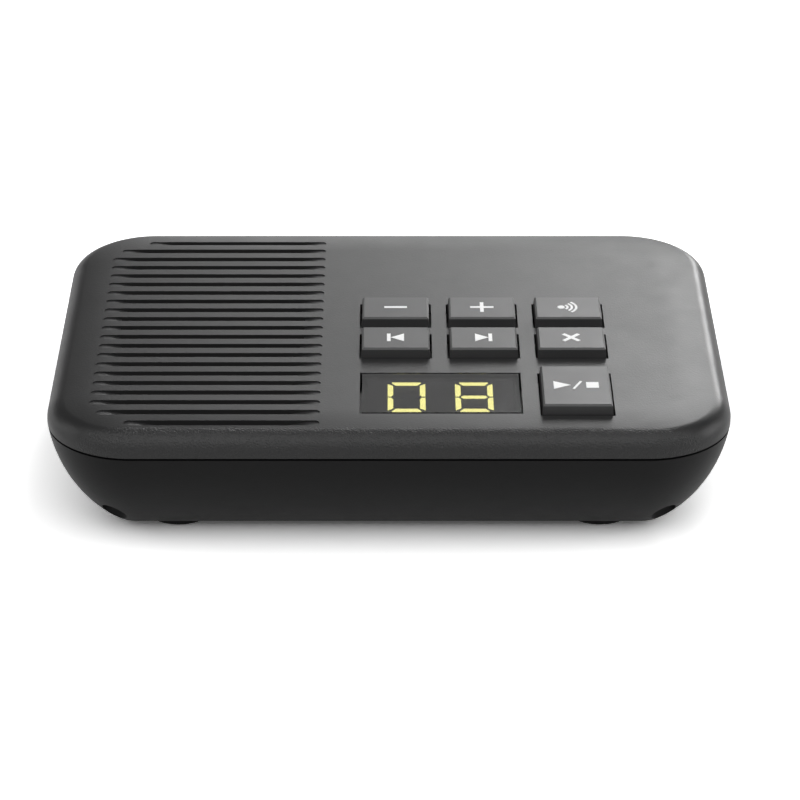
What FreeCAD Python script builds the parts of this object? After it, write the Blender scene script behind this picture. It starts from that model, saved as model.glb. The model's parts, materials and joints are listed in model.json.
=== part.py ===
import FreeCAD, Part
import math
import os
import re
import Sketcher
from FreeCAD import Vector

# Desk answering machine: a thin top cover with a speaker grille, a display and seven keys,
# on a bowl-shaped bottom case. The origin is at the bottom centre, +Z up, front at -Y.

# Driving dimensions in millimetres
SIZES = {
    # Housing
    "body_width": 119.8,
    "body_depth": 85.3,
    "corner_radius": 15.4,
    "seam_height": 20.15,
    "cover_height": 4.65,
    "roll_radius": 3.8,
    "bowl_inset": 10.6,
    "bowl_lean": 8,
    "bowl_overlap": 1,
    "wall": 2,
    "seam_gap": 0.3,
    "tongue_inset": 1.1,
    "tongue_height": 1.5,
    "tongue_gap": 0.1,
    # Feet
    "foot_drop": 2,
    "foot_radius": 6.5,
    "foot_recess": 0.7,
    "foot_gap": 0.1,
    "foot_edge": 0.4,
    "foot_inset_x": 22.5,
    "foot_inset_y": 18.95,
    # Case screws, their wells and posts
    "post_inset_x": 11.7,
    "post_inset_y": 8.25,
    "post_radius": 3.2,
    "well_radius": 2.4,
    "well_wall": 1.6,
    "shelf_drop": 8,
    "shelf_thickness": 2,
    "screw_radius": 1.25,
    "screw_length": 8.5,
    "screw_head_radius": 2.1,
    "screw_head_height": 1.7,
    "screw_gap": 0.05,
    # Grille
    "grille_rows": 21,
    "grille_left_margin": 7.7,
    "grille_front_margin": 4.87,
    "grille_back_margin": 6.88,
    "grille_key_gap": 13.2,
    "slot_width": 1.6,
    "groove_depth": 1,
    "groove_end": 0.3,
    "groove_slope": 7,
    "grille_corner": 9,
    "grille_edge": 0.35,
    # Keys
    "key_length": 12.3,
    "key_depth": 9.1,
    "play_depth": 15.3,
    "key_draft": 5,
    "key_gap": 0.25,
    "key_proud": 1.8,
    "key_travel": 0.5,
    "key_chamfer": 0.3,
    "key_wall": 1.2,
    "key_lip": 0.9,
    "key_lip_height": 0.8,
    "key_rest_gap": 0.1,
    "key_pitch_x": 15.75,
    "key_pitch_y": 12.5,
    "key_right_margin": 27.2,
    "key_back_margin": 38.73,
    "play_front_margin": 15.27,
    "guide_gap": 0.3,
    "guide_wall": 1,
    "guide_height": 2.2,
    "stem_radius": 1.6,
    # Tact switches
    "switch_side": 6,
    "switch_height": 3.5,
    "plunger_radius": 1.7,
    "plunger_rise": 0.8,
    "plunger_depth": 2,
    "plunger_gap": 0.15,
    # Display
    "lens_width": 27.6,
    "lens_depth": 14.8,
    "lens_gap": 0.3,
    "lens_plate": 1.2,
    "lens_wall": 0.8,
    "lens_lip": 1.4,
    "lens_lip_height": 1,
    "lens_front_margin": 15.77,
    "display_gap": 0.3,
    "digit_height": 11.4,
    "digit_width": 6.75,
    "digit_pitch": 11.85,
    "digit_shift": -6,
    "segment_width": 1,
    "segment_height": 0.15,
    "segment_gap": 0.25,
    "display_room": 0.2,
    # Circuit board
    "board_drop": 6.8,
    "board_thickness": 1.6,
    "board_key_gap": 11.2,
    "board_right_margin": 6,
    "board_front_margin": 4.9,
    "board_notch": 5,
    "board_socket_step": 5,
    "standoff_radius": 2.4,
    "board_screw_radius": 1.1,
    "board_screw_length": 7,
    "board_screw_head_radius": 2,
    "board_screw_head_height": 1.3,
    # Cable bay and sockets
    "bay_depth": 15.5,
    "bay_width": 34,
    "bay_shift": 4,
    "bay_drop": 6.15,
    "socket_pitch": 16,
    "line_width": 13,
    "line_mouth": 9.7,
    "power_width": 11,
    "power_mouth": 7.7,
    "mouth_height": 6.7,
    "latch_width": 3.4,
    "latch_height": 1.2,
    "socket_depth": 13,
    "mouth_depth": 11,
    "socket_gap": 0.1,
    "socket_floor_gap": 0.5,
    "window_gap": 0.3,
    "contact_pitch": 1.02,
    "contact_width": 0.4,
    # Speaker
    "speaker_inset": 0.1,
    "speaker_rim": 1.2,
    "speaker_rim_height": 2,
    "speaker_height": 12,
    "gasket_height": 0.8,
    "gasket_width": 1.8,
    "basket_wall": 0.8,
    "basket_web": 2,
    "magnet_height": 4.7,
    "pole_radius": 3.2,
    "coil_gap": 1.3,
    "cone_wall": 0.4,
    "cone_edge": 3.2,
    "cone_clearance": 0.15,
    "collar_gap": 0.3,
    "collar_wall": 1.2,
    "collar_height": 2.6,
    "clamp_reach": 3.3,
    "clamp_thickness": 1,
    "clamp_width": 4.4,
    "clamp_bite": 1.1,
    "clamp_boss_radius": 2.2,
}

# Levels and places worked out from the driving dimensions
FORMULAS = {
    "top_level": "seam_height + cover_height",
    "ceiling_level": "top_level - wall",
    "rim_level": "seam_height - seam_gap",
    "tongue_level": "rim_level + tongue_height",
    "floor_level": "foot_drop + wall",
    "bowl_drop": "seam_height - foot_drop",
    "bowl_reach": "bowl_inset * cos(bowl_lean * 1deg) - bowl_drop * sin(bowl_lean * 1deg)",
    "bowl_radius": "(bowl_inset ^ 2 + bowl_drop ^ 2) / (2 * bowl_reach)",
    "bowl_centre": "seam_height + bowl_radius * sin(bowl_lean * 1deg)",
    "post_x": "body_width / 2 - post_inset_x",
    "post_y": "body_depth / 2 - post_inset_y",
    "foot_x": "body_width / 2 - foot_inset_x",
    "foot_y": "body_depth / 2 - foot_inset_y",
    "shelf_level": "seam_height - shelf_drop",
    "shelf_top": "shelf_level + shelf_thickness",
    "column_three": "body_width / 2 - key_right_margin",
    "column_two": "column_three - key_pitch_x",
    "column_one": "column_two - key_pitch_x",
    "row_one": "body_depth / 2 - key_back_margin",
    "row_two": "row_one - key_pitch_y",
    "play_row": "play_front_margin - body_depth / 2",
    "key_top": "top_level + key_proud",
    "lip_level": "ceiling_level - key_rest_gap - key_lip_height",
    "lens_x": "(column_one + column_two) / 2",
    "lens_y": "lens_front_margin - body_depth / 2",
    "lens_under": "top_level - lens_plate",
    "display_top": "lens_under - display_gap - segment_height",
    "grille_left": "grille_left_margin - body_width / 2",
    "grille_right": "column_one - grille_key_gap",
    "grille_front": "grille_front_margin - body_depth / 2",
    "grille_back": "body_depth / 2 - grille_back_margin",
    "grille_pitch": "(grille_back - grille_front) / (grille_rows - 1)",
    "board_top": "ceiling_level - board_drop",
    "board_level": "board_top - board_thickness",
    "board_left": "column_one - board_key_gap",
    "board_right": "body_width / 2 - board_right_margin",
    "board_front": "board_front_margin - body_depth / 2",
    "panel_back": "body_depth / 2 - bay_depth",
    "panel_front": "panel_back - wall",
    "board_back": "panel_front - board_socket_step",
    "switch_top": "board_top + switch_height",
    "plunger_top": "switch_top + plunger_rise",
    "bay_x": "column_two - bay_shift",
    "line_x": "bay_x - socket_pitch / 2",
    "power_x": "bay_x + socket_pitch / 2",
    "bay_roof": "seam_height - bay_drop",
    "socket_face": "panel_front - socket_gap",
    "socket_level": "floor_level + socket_floor_gap",
    "mouth_level": "(socket_level + board_level - mouth_height) / 2",
    "speaker_x": "(grille_left + grille_right) / 2",
    "speaker_y": "(grille_front + grille_back) / 2",
    "speaker_radius": "(grille_right - grille_left) / 2 - speaker_inset",
    "magnet_radius": "speaker_radius * 0.55",
    "speaker_top": "ceiling_level - gasket_height",
    "speaker_rim_level": "speaker_top - speaker_rim_height",
    "speaker_bottom": "speaker_top - speaker_height",
    "magnet_top": "speaker_bottom + magnet_height",
    "cone_radius": "speaker_radius - speaker_rim - cone_edge",
    "coil_radius": "pole_radius + coil_gap / 2",
    "clamp_circle": "speaker_radius + collar_gap + collar_wall + clamp_reach",
    "clamp_level": "speaker_rim_level - clamp_thickness",
}

DOC = FreeCAD.newDocument("answering_machine")
SHEET = DOC.addObject("Spreadsheet::Sheet", "Sizes")
NODES = []


def fill_sheet():
    """Write every size into the sheet, one row each: its name, its value and its alias."""
    rows = [(name, str(value)) for name, value in SIZES.items()]
    rows += [(name, "=" + formula) for name, formula in FORMULAS.items()]
    for row, (name, text) in enumerate(rows, 1):
        SHEET.set(f"A{row}", name)
        SHEET.set(f"B{row}", text)
        SHEET.setAlias(f"B{row}", name)
        if name in FORMULAS:
            SHEET.recompute()
    DOC.recompute()


def bound(text):
    """The same expression with the sheet's name before each alias."""
    def full_name(match):
        word = match.group(0)
        return "Sizes." + word if word in SIZES or word in FORMULAS else word
    return re.sub(r"[a-z][a-z_]*", full_name, str(text))


def number(text):
    """What an expression of sizes comes to now."""
    return float(SHEET.evalExpression(bound(text)))


def sub_part(thing, name):
    """Name a document object as a sub-part that is written to its own file."""
    thing.Label = name
    NODES.append(thing)
    return thing


def new_body(name, x="0", y="0"):
    """A body whose own origin stands at x, y."""
    body = DOC.addObject("PartDesign::Body", name)
    body.AllowCompound = True
    body.setExpression("Placement.Base.x", bound(x))
    body.setExpression("Placement.Base.y", bound(y))
    return body


class Drawing:
    """A sketch on one of its body's origin planes, with every size tied to the sheet."""

    def __init__(self, body, level="0", role="XY_Plane"):
        self.sketch = body.newObject("Sketcher::SketchObject", "sketch")
        plane = [item for item in body.Origin.OriginFeatures if item.Role == role][0]
        self.sketch.AttachmentSupport = [(plane, "")]
        self.sketch.MapMode = "FlatFace"
        self.sketch.setExpression("AttachmentOffset.Base.z", bound(level))
        self.curves = []
        self.rules = []

    def add(self, curves):
        """Keep the curves and return the number of the first."""
        first = len(self.curves)
        self.curves += curves
        return first

    def rule(self, kind, *ends, size=None):
        """Keep a constraint, with its size if it has one."""
        values = ends if size is None else ends + (number(size),)
        self.rules.append((Sketcher.Constraint(kind, *values), size))

    def place(self, curve, end, x, y):
        """Fix a curve's end or centre at x, y."""
        self.rule("DistanceX", -1, 1, curve, end, size=x)
        self.rule("DistanceY", -1, 1, curve, end, size=y)

    def polygon(self, corners):
        """A closed outline of straight lines through the corners."""
        points = [Vector(number(x), number(y), 0) for x, y in corners]
        count = len(points)
        first = self.add([Part.LineSegment(points[k], points[(k + 1) % count]) for k in range(count)])
        for k, (x, y) in enumerate(corners):
            self.rule("Coincident", first + k, 2, first + (k + 1) % count, 1)
            self.place(first + k, 1, x, y)
        return self

    def rectangle(self, x, y, width, depth):
        """A rectangle about the point x, y."""
        left = f"({x}) - ({width}) / 2"
        right = f"({x}) + ({width}) / 2"
        low = f"({y}) - ({depth}) / 2"
        high = f"({y}) + ({depth}) / 2"
        return self.polygon([(left, low), (right, low), (right, high), (left, high)])

    def rounded(self, x, y, width, depth, radius):
        """A rectangle with rounded corners about the point x, y."""
        bend = number(radius)
        across = number(width) / 2 - bend
        along = number(depth) / 2 - bend
        middle = Vector(number(x), number(y), 0)
        turns = [(across, -along, -90), (across, along, 0), (-across, along, 90), (-across, -along, 180)]
        arcs = []
        for dx, dy, start in turns:
            circle = Part.Circle(middle + Vector(dx, dy, 0), Vector(0, 0, 1), bend)
            arcs.append(Part.ArcOfCircle(circle, math.radians(start), math.radians(start + 90)))
        sides = [Part.LineSegment(arcs[k].EndPoint, arcs[(k + 1) % 4].StartPoint) for k in range(4)]
        arc = self.add(arcs)
        side = self.add(sides)
        for k in range(4):
            self.rule("Tangent", arc + k, 2, side + k, 1)
            self.rule("Tangent", side + k, 2, arc + (k + 1) % 4, 1)
            self.rule("Horizontal" if k % 2 else "Vertical", side + k)
        for k in range(1, 4):
            self.rule("Equal", arc, arc + k)
        self.rule("Radius", arc, size=radius)
        dx = f"({width}) / 2 - ({radius})"
        dy = f"({depth}) / 2 - ({radius})"
        self.place(arc, 3, f"({x}) + {dx}", f"({y}) - ({dy})")
        self.place(arc + 2, 3, f"({x}) - ({dx})", f"({y}) + {dy}")
        return self

    def circle(self, x, y, radius):
        """A circle about the point x, y."""
        middle = Vector(number(x), number(y), 0)
        curve = self.add([Part.Circle(middle, Vector(0, 0, 1), number(radius))])
        self.rule("Radius", curve, size=radius)
        self.place(curve, 3, x, y)
        return self

    def slot(self, left, right, y, radius):
        """A long hole with round ends whose tips are at left and right."""
        bend = number(radius)
        start = Vector(number(left) + bend, number(y), 0)
        finish = Vector(number(right) - bend, number(y), 0)
        up = Vector(0, 0, 1)
        rise = Vector(0, bend, 0)
        arcs = [
            Part.ArcOfCircle(Part.Circle(start, up, bend), math.pi / 2, math.pi * 3 / 2),
            Part.ArcOfCircle(Part.Circle(finish, up, bend), -math.pi / 2, math.pi / 2),
        ]
        sides = [
            Part.LineSegment(start - rise, finish - rise),
            Part.LineSegment(finish + rise, start + rise),
        ]
        first = self.add(arcs + sides)
        self.rule("Tangent", first, 2, first + 2, 1)
        self.rule("Tangent", first + 2, 2, first + 1, 1)
        self.rule("Tangent", first + 1, 2, first + 3, 1)
        self.rule("Tangent", first + 3, 2, first, 1)
        self.rule("Equal", first, first + 1)
        self.rule("Radius", first, size=radius)
        self.place(first, 3, f"({left}) + ({radius})", y)
        self.place(first + 1, 3, f"({right}) - ({radius})", y)
        return self

    def finish(self):
        """Put the curves and constraints into the sketch and tie them to the sheet."""
        self.sketch.addGeometry(self.curves, False)
        self.sketch.addConstraint([rule for rule, size in self.rules])
        for index, (rule, size) in enumerate(self.rules):
            if size is not None:
                self.sketch.setExpression(f"Constraints[{index}]", bound(size))
        return self.sketch


def pad(body, drawing, length):
    """Raise a drawing by a length."""
    feature = body.newObject("PartDesign::Pad", "pad")
    feature.Profile = drawing.finish()
    feature.setExpression("Length", bound(length))
    return feature


def cut_up(body, drawing, length):
    """Cut a drawing upwards by a length and check that it took something away."""
    DOC.recompute()
    before = body.Shape.Volume
    feature = body.newObject("PartDesign::Pocket", "pocket")
    feature.Profile = drawing.finish()
    feature.setExpression("Length", bound(length))
    feature.Reversed = True
    DOC.recompute()
    if not body.Shape.Volume < before:
        raise RuntimeError(f"a pocket of {body.Name} cuts nothing")
    return feature


def turn(body, corners):
    """Revolve an outline of radius and height about the body's own upright axis."""
    drawing = Drawing(body, role="XZ_Plane").polygon(corners)
    feature = body.newObject("PartDesign::Revolution", "turn")
    feature.Profile = drawing.finish()
    feature.ReferenceAxis = (drawing.sketch, ["V_Axis"])
    feature.Angle = 360
    return feature


def flat_face(feature, level):
    """The name of the feature's flat face at a level."""
    DOC.recompute()
    height = number(level)
    for index, face in enumerate(feature.Shape.Faces, 1):
        box = face.BoundBox
        if abs(box.ZMin - height) < 1e-6 and abs(box.ZMax - height) < 1e-6:
            return f"Face{index}"
    raise RuntimeError(f"{feature.Name} has no face at {level}")


def dress(body, kind, feature, level, size):
    """Fillet or chamfer the edges of the feature's flat face at a level."""
    face = flat_face(feature, level)
    edge = body.newObject(f"PartDesign::{kind}", kind.lower())
    edge.Base = (feature, [face])
    edge.setExpression("Radius" if kind == "Fillet" else "Size", bound(size))
    return edge


def block(x, y, z, width, depth, height):
    """A box centred on x, from y backwards and from z upwards."""
    box = DOC.addObject("Part::Box", "block")
    box.setExpression("Length", bound(width))
    box.setExpression("Width", bound(depth))
    box.setExpression("Height", bound(height))
    box.setExpression("Placement.Base.x", bound(f"({x}) - ({width}) / 2"))
    box.setExpression("Placement.Base.y", bound(y))
    box.setExpression("Placement.Base.z", bound(z))
    return box


def joined(shapes):
    """The shapes made one."""
    union = DOC.addObject("Part::MultiFuse", "union")
    union.Shapes = shapes
    return union


def without(base, tool):
    """The base less the tool."""
    cut = DOC.addObject("Part::Cut", "cut")
    cut.Base = base
    cut.Tool = tool
    return cut


def common(base, tool):
    """What the base and the tool share."""
    shared = DOC.addObject("Part::Common", "common")
    shared.Base = base
    shared.Tool = tool
    return shared


def four_corners(x, y):
    """The four points at plus and minus x and y."""
    return [(f"{a}({x})", f"{b}({y})") for a in ("-", "+") for b in ("-", "+")]


# Every key: name, place and depth
KEYS = [
    ("minus", "column_one", "row_one", "key_depth"),
    ("plus", "column_two", "row_one", "key_depth"),
    ("paging", "column_three", "row_one", "key_depth"),
    ("skip_back", "column_one", "row_two", "key_depth"),
    ("skip_forward", "column_two", "row_two", "key_depth"),
    ("delete", "column_three", "row_two", "key_depth"),
    ("play", "column_three", "play_row", "play_depth"),
]

# Standoffs of the circuit board, clear of the switches, the display and the sockets
STANDOFFS = [
    ("board_left + 4", "board_back - 4.5"),
    ("board_right - 4.5", "board_back - 4.5"),
    ("board_left + 3.5", "row_two - 6.5"),
    ("board_right - 5", "row_two - 8"),
]


def cover_shell():
    """The cover's skin: a slab with a rolled edge, shelled, with a rebate for the tongue."""
    body = new_body("cover_shell")
    outline = Drawing(body, "seam_height")
    outline.rounded("0", "0", "body_width", "body_depth", "corner_radius")
    slab = pad(body, outline, "cover_height")
    rolled = dress(body, "Fillet", slab, "top_level", "roll_radius")
    face = flat_face(rolled, "seam_height")
    shell = body.newObject("PartDesign::Thickness", "shell")
    shell.Base = (rolled, [face])
    shell.setExpression("Value", bound("wall"))
    shell.Reversed = True
    shell.Join = 1
    rebate = Drawing(body, "seam_height")
    inset = "2 * (tongue_inset - tongue_gap)"
    width = f"body_width - {inset}"
    depth = f"body_depth - {inset}"
    rebate.rounded("0", "0", width, depth, "corner_radius - tongue_inset + tongue_gap")
    cut_up(body, rebate, "tongue_level + tongue_gap - seam_height")
    return body


def cover_inside(body):
    """Screw posts, key guides, the speaker's collar and the clamps' bosses under the cover."""
    posts = Drawing(body, "shelf_top")
    for x, y in four_corners("post_x", "post_y"):
        posts.circle(x, y, "post_radius")
    pad(body, posts, "ceiling_level - shelf_top")

    guide = Drawing(body, "ceiling_level - guide_height")
    margin = "2 * (key_lip + guide_gap + guide_wall)"
    guide.rectangle("column_two", "(row_one + row_two) / 2",
                    f"2 * key_pitch_x + key_length + {margin}", f"key_pitch_y + key_depth + {margin}")
    guide.rectangle("column_three", "play_row", f"key_length + {margin}", f"play_depth + {margin}")
    pad(body, guide, "guide_height")

    collar = Drawing(body, "ceiling_level - collar_height")
    collar.circle("speaker_x", "speaker_y", "speaker_radius + collar_gap")
    collar.circle("speaker_x", "speaker_y", "speaker_radius + collar_gap + collar_wall")
    pad(body, collar, "collar_height")

    bosses = Drawing(body, "speaker_rim_level")
    for x, y in clamp_places():
        bosses.circle(x, y, "clamp_boss_radius")
    pad(body, bosses, "ceiling_level - speaker_rim_level")


def cover_openings(body):
    """Pilot holes, the keys' and the lens's openings, and the room for the keys' lips."""
    pilots = Drawing(body, "shelf_top")
    for x, y in four_corners("post_x", "post_y"):
        pilots.circle(x, y, "screw_radius + screw_gap")
    cut_up(body, pilots, "screw_length - shelf_thickness + 0.5")

    clamp_pilots = Drawing(body, "speaker_rim_level")
    for x, y in clamp_places():
        clamp_pilots.circle(x, y, "board_screw_radius + screw_gap")
    cut_up(body, clamp_pilots, "ceiling_level - speaker_rim_level")

    lips = Drawing(body, "ceiling_level - guide_height")
    lip_room = "2 * (key_lip + guide_gap)"
    for name, x, y, depth in KEYS:
        lips.rectangle(x, y, f"key_length + {lip_room}", f"{depth} + {lip_room}")
    cut_up(body, lips, "guide_height")

    holes = Drawing(body, "ceiling_level")
    for name, x, y, depth in KEYS:
        holes.rectangle(x, y, "key_length + 2 * key_gap", f"{depth} + 2 * key_gap")
    holes.rectangle("lens_x", "lens_y", "lens_width + 2 * lens_gap", "lens_depth + 2 * lens_gap")
    cut_up(body, holes, "wall")


def row_left(step):
    """The left end of the grille's row that is so many steps from the front or the back."""
    if step > 1:
        return "grille_left"
    short = f"(grille_corner - grille_edge - {step} * grille_pitch)"
    return f"grille_left + grille_corner - sqrt(grille_corner ^ 2 - {short} ^ 2)"


def grille_tool(step, rows):
    """The cutter of some rows: shallow grooves with sloping ends, open above the speaker."""
    left = row_left(step)
    slots = new_body(f"grille_slots_{step}")
    plan = Drawing(slots, "ceiling_level - 0.1")
    for row in rows:
        plan.slot(left, "grille_right", f"grille_front + {row} * grille_pitch", "slot_width / 2")
    pad(slots, plan, "wall + 0.2")

    floor = new_body(f"grille_floor_{step}")
    profile = Drawing(floor, "-body_depth / 2", "XZ_Plane")
    bottom = "top_level - groove_depth"
    profile.polygon([
        (left, "top_level - groove_end"),
        (f"{left} + groove_slope", bottom),
        ("grille_right - groove_slope", bottom),
        ("grille_right", "top_level - groove_end"),
        ("grille_right", "top_level + 1"),
        (left, "top_level + 1"),
    ])
    pad(floor, profile, "body_depth")

    disc = new_body(f"grille_window_{step}")
    edge = Drawing(disc, "ceiling_level - 1")
    edge.circle("speaker_x", "speaker_y", "speaker_radius - gasket_width - 0.2")
    pad(disc, edge, "wall + 2")
    return common(slots, joined([floor, disc]))


def top_cover():
    body = cover_shell()
    cover_inside(body)
    cover_openings(body)
    last = int(number("grille_rows")) - 1
    groups = [(0, [0, last]), (1, [1, last - 1]), (2, range(2, last - 1))]
    grille = joined([grille_tool(step, rows) for step, rows in groups])
    sub_part(without(body, grille), "top_cover")


def bowl(name, wall, bottom, top):
    """A solid bowl: an arc swept round the seam's outline, and a core that fills its middle."""
    body = new_body(name)
    spine = Drawing(body, "seam_height")
    spine.rounded("0", "0", "body_width", "body_depth", "corner_radius")
    path = spine.finish()

    core = "bowl_inset + 2 * bowl_overlap"
    edge = Drawing(body, role="YZ_Plane")
    radius = f"bowl_radius - ({wall})"
    centre = "bowl_radius * cos(bowl_lean * 1deg) - body_depth / 2"
    middle = Vector(number(centre), number("bowl_centre"), 0)
    drops = [number(f"bowl_centre - ({level})") for level in ("seam_height", bottom)]
    start, end = [math.pi + math.asin(drop / number(radius)) for drop in drops]
    arc = Part.ArcOfCircle(Part.Circle(middle, Vector(0, 0, 1), number(radius)), start, end)
    inner = number(core) - number("body_depth") / 2
    low = Vector(inner, number(bottom), 0)
    high = Vector(inner, number(top), 0)
    over = Vector(arc.StartPoint.x, number(top), 0)
    first = edge.add([
        arc,
        Part.LineSegment(arc.EndPoint, low),
        Part.LineSegment(low, high),
        Part.LineSegment(high, over),
        Part.LineSegment(over, arc.StartPoint),
    ])
    for k in range(5):
        edge.rule("Coincident", first + k, 2, first + (k + 1) % 5, 1)
    edge.place(first, 3, centre, "bowl_centre")
    edge.rule("Radius", first, size=radius)
    edge.rule("Horizontal", first + 1)
    edge.rule("Vertical", first + 4)
    edge.rule("Horizontal", first + 3)
    edge.place(first + 2, 1, f"{core} - body_depth / 2", bottom)
    edge.place(first + 2, 2, f"{core} - body_depth / 2", top)
    edge.rule("DistanceY", -1, 1, first, 1, size="seam_height")
    sweep = body.newObject("PartDesign::AdditivePipe", "sweep")
    sweep.Profile = edge.finish()
    sweep.Spine = (path, [])

    plug = Drawing(body, bottom)
    inset = "bowl_inset + bowl_overlap"
    plug.rounded("0", "0", f"body_width - 2 * ({inset})", f"body_depth - 2 * ({inset})",
                 f"corner_radius - ({inset})")
    pad(body, plug, f"({top}) - ({bottom})")
    return body


def case_outside():
    """The bottom case's outer form: the bowl below the seam and the tongue above it."""
    body = bowl("case_outside", "0", "foot_drop", "tongue_level")
    rim = Drawing(body, "rim_level")
    inset = "2 * tongue_inset"
    rim.rounded("0", "0", "body_width + 2", "body_depth + 2", "corner_radius + 1")
    rim.rounded("0", "0", f"body_width - {inset}", f"body_depth - {inset}", "corner_radius - tongue_inset")
    cut_up(body, rim, "tongue_height + 1")
    return body


def case_kept():
    """What stands inside the bottom case: wells' walls, standoffs and the cable bay's walls."""
    body = new_body("case_kept")
    walls = Drawing(body, "foot_drop")
    for x, y in four_corners("post_x", "post_y"):
        walls.circle(x, y, "well_radius + well_wall")
    pad(body, walls, "shelf_top - foot_drop")
    standoffs = Drawing(body, "foot_drop")
    for x, y in STANDOFFS:
        standoffs.circle(x, y, "standoff_radius")
    pad(body, standoffs, "board_level - foot_drop")
    bay = Drawing(body, "foot_drop")
    reach = "body_depth / 2 - panel_front"
    bay.rectangle("bay_x", "(body_depth / 2 + panel_front) / 2", "bay_width + 2 * wall", reach)
    pad(body, bay, "bay_roof + wall - foot_drop")
    return body


def case_cuts():
    """Wells, screw holes, foot recesses and the cable bay, as one cutter."""
    body = new_body("case_cuts")
    wells = Drawing(body)
    for x, y in four_corners("post_x", "post_y"):
        wells.circle(x, y, "well_radius")
    pad(body, wells, "shelf_level")
    holes = Drawing(body)
    for x, y in four_corners("post_x", "post_y"):
        holes.circle(x, y, "screw_radius + window_gap")
    pad(body, holes, "shelf_top + 1")
    recesses = Drawing(body)
    for x, y in four_corners("foot_x", "foot_y"):
        recesses.circle(x, y, "foot_radius + foot_gap")
    pad(body, recesses, "foot_drop + foot_recess")
    pilots = Drawing(body, "board_level - board_screw_length")
    for x, y in STANDOFFS:
        pilots.circle(x, y, "board_screw_radius + screw_gap")
    pad(body, pilots, "board_screw_length + 1")
    bay = Drawing(body)
    bay.rectangle("bay_x", "(body_depth / 2 + panel_back) / 2 + 5", "bay_width", "bay_depth + 10")
    pad(body, bay, "bay_roof")
    return body


def socket_window(x, mouth):
    """The hole in the bay's panel in front of a socket's mouth and latch."""
    width = f"{mouth} + 2 * window_gap"
    level = "mouth_level - latch_height - window_gap"
    height = "mouth_height + latch_height + 2 * window_gap"
    return block(x, "panel_front - 1", level, width, "wall + 2", height)


def bottom_case():
    inside = bowl("case_inside", "wall", "floor_level", "tongue_level + 1")
    cavity = without(inside, case_kept())
    shell = without(case_outside(), cavity)
    windows = [socket_window("line_x", "line_mouth"), socket_window("power_x", "power_mouth")]
    sub_part(without(shell, joined([case_cuts()] + windows)), "bottom_case")


def feet():
    """Four round rubber feet in their recesses."""
    names = ["foot_front_left", "foot_back_left", "foot_front_right", "foot_back_right"]
    for name, (x, y) in zip(names, four_corners("foot_x", "foot_y")):
        body = new_body(name, x, y)
        turn(body, [
            ("0", "0"),
            ("foot_radius - foot_edge", "0"),
            ("foot_radius", "foot_edge"),
            ("foot_radius", "foot_drop + foot_recess"),
            ("0", "foot_drop + foot_recess"),
        ])
        sub_part(body, name)


def screws(name, places, radius, head_radius, head_level, head_height, shank_level, length):
    """A group of like screws, each a head and a shank."""
    body = new_body(name)
    heads = Drawing(body, head_level)
    shanks = Drawing(body, shank_level)
    for x, y in places:
        heads.circle(x, y, head_radius)
        shanks.circle(x, y, radius)
    pad(body, heads, head_height)
    pad(body, shanks, length)
    sub_part(body, name)


def circuit_board():
    """The board, notched round the front right post, and the screws that hold it."""
    body = new_body("main_board")
    plan = Drawing(body, "board_level")
    notch_x = "post_x - board_notch"
    notch_y = "board_notch - post_y"
    plan.polygon([
        ("board_left", "board_front"),
        (notch_x, "board_front"),
        (notch_x, notch_y),
        ("board_right", notch_y),
        ("board_right", "board_back"),
        ("board_left", "board_back"),
    ])
    for x, y in STANDOFFS:
        plan.circle(x, y, "board_screw_radius + key_rest_gap")
    pad(body, plan, "board_thickness")
    sub_part(body, "main_board")
    screws("board_screws", STANDOFFS, "board_screw_radius", "board_screw_head_radius", "board_top",
           "board_screw_head_height", "board_top - board_screw_length", "board_screw_length")


def box_part(name, x, y, level, width, depth, height):
    """A plain box-shaped component centred on x, y."""
    body = new_body(name)
    plan = Drawing(body, level)
    plan.rectangle(x, y, width, depth)
    pad(body, plan, height)
    return sub_part(body, name)


def board_components():
    """What the board carries besides the switches, the display and the sockets."""
    under = {
        "shield_can": ("column_two - 1", "lens_y", 22, 15, 2.8),
        "processor_chip": ("column_one + 9", "row_two + 2", 12, 12, 1.2),
        "memory_chip": ("column_two + 9", "row_two + 1", 8, 6, 1),
        "crystal": ("column_two + 2", "row_two + 6", 4.5, 3.2, 1.1),
    }
    for name, (x, y, width, depth, height) in under.items():
        box_part(name, x, y, f"board_level - {height}", width, depth, height)
    box_part("line_transformer", "column_three + 9", "row_one", "floor_level + 2", 13, 11,
             "board_level - floor_level - 2")
    cans = new_body("capacitors")
    plan = Drawing(cans, "floor_level + 1.5")
    for x, y in (("column_three + 4", "row_two"), ("column_three + 12", "row_two")):
        plan.circle(x, y, "3.15")
    pad(cans, plan, "board_level - floor_level - 1.5")
    sub_part(cans, "capacitors")


def antenna(name, x):
    """A stamped strip that stands on the board on two legs."""
    body = new_body(name)
    shape = Drawing(body, "-(board_back - 1.5)", "XZ_Plane")
    shape.polygon([
        (x, "board_top"),
        (f"{x} + 0.8", "board_top"),
        (f"{x} + 0.8", "board_top + 3"),
        (f"{x} + 3", "board_top + 3"),
        (f"{x} + 3", "board_top"),
        (f"{x} + 3.8", "board_top"),
        (f"{x} + 3.8", "board_top + 3"),
        (f"{x} + 13", "board_top + 3"),
        (f"{x} + 13", "board_top + 4"),
        (x, "board_top + 4"),
    ])
    pad(body, shape, "0.3")
    sub_part(body, name)


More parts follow.
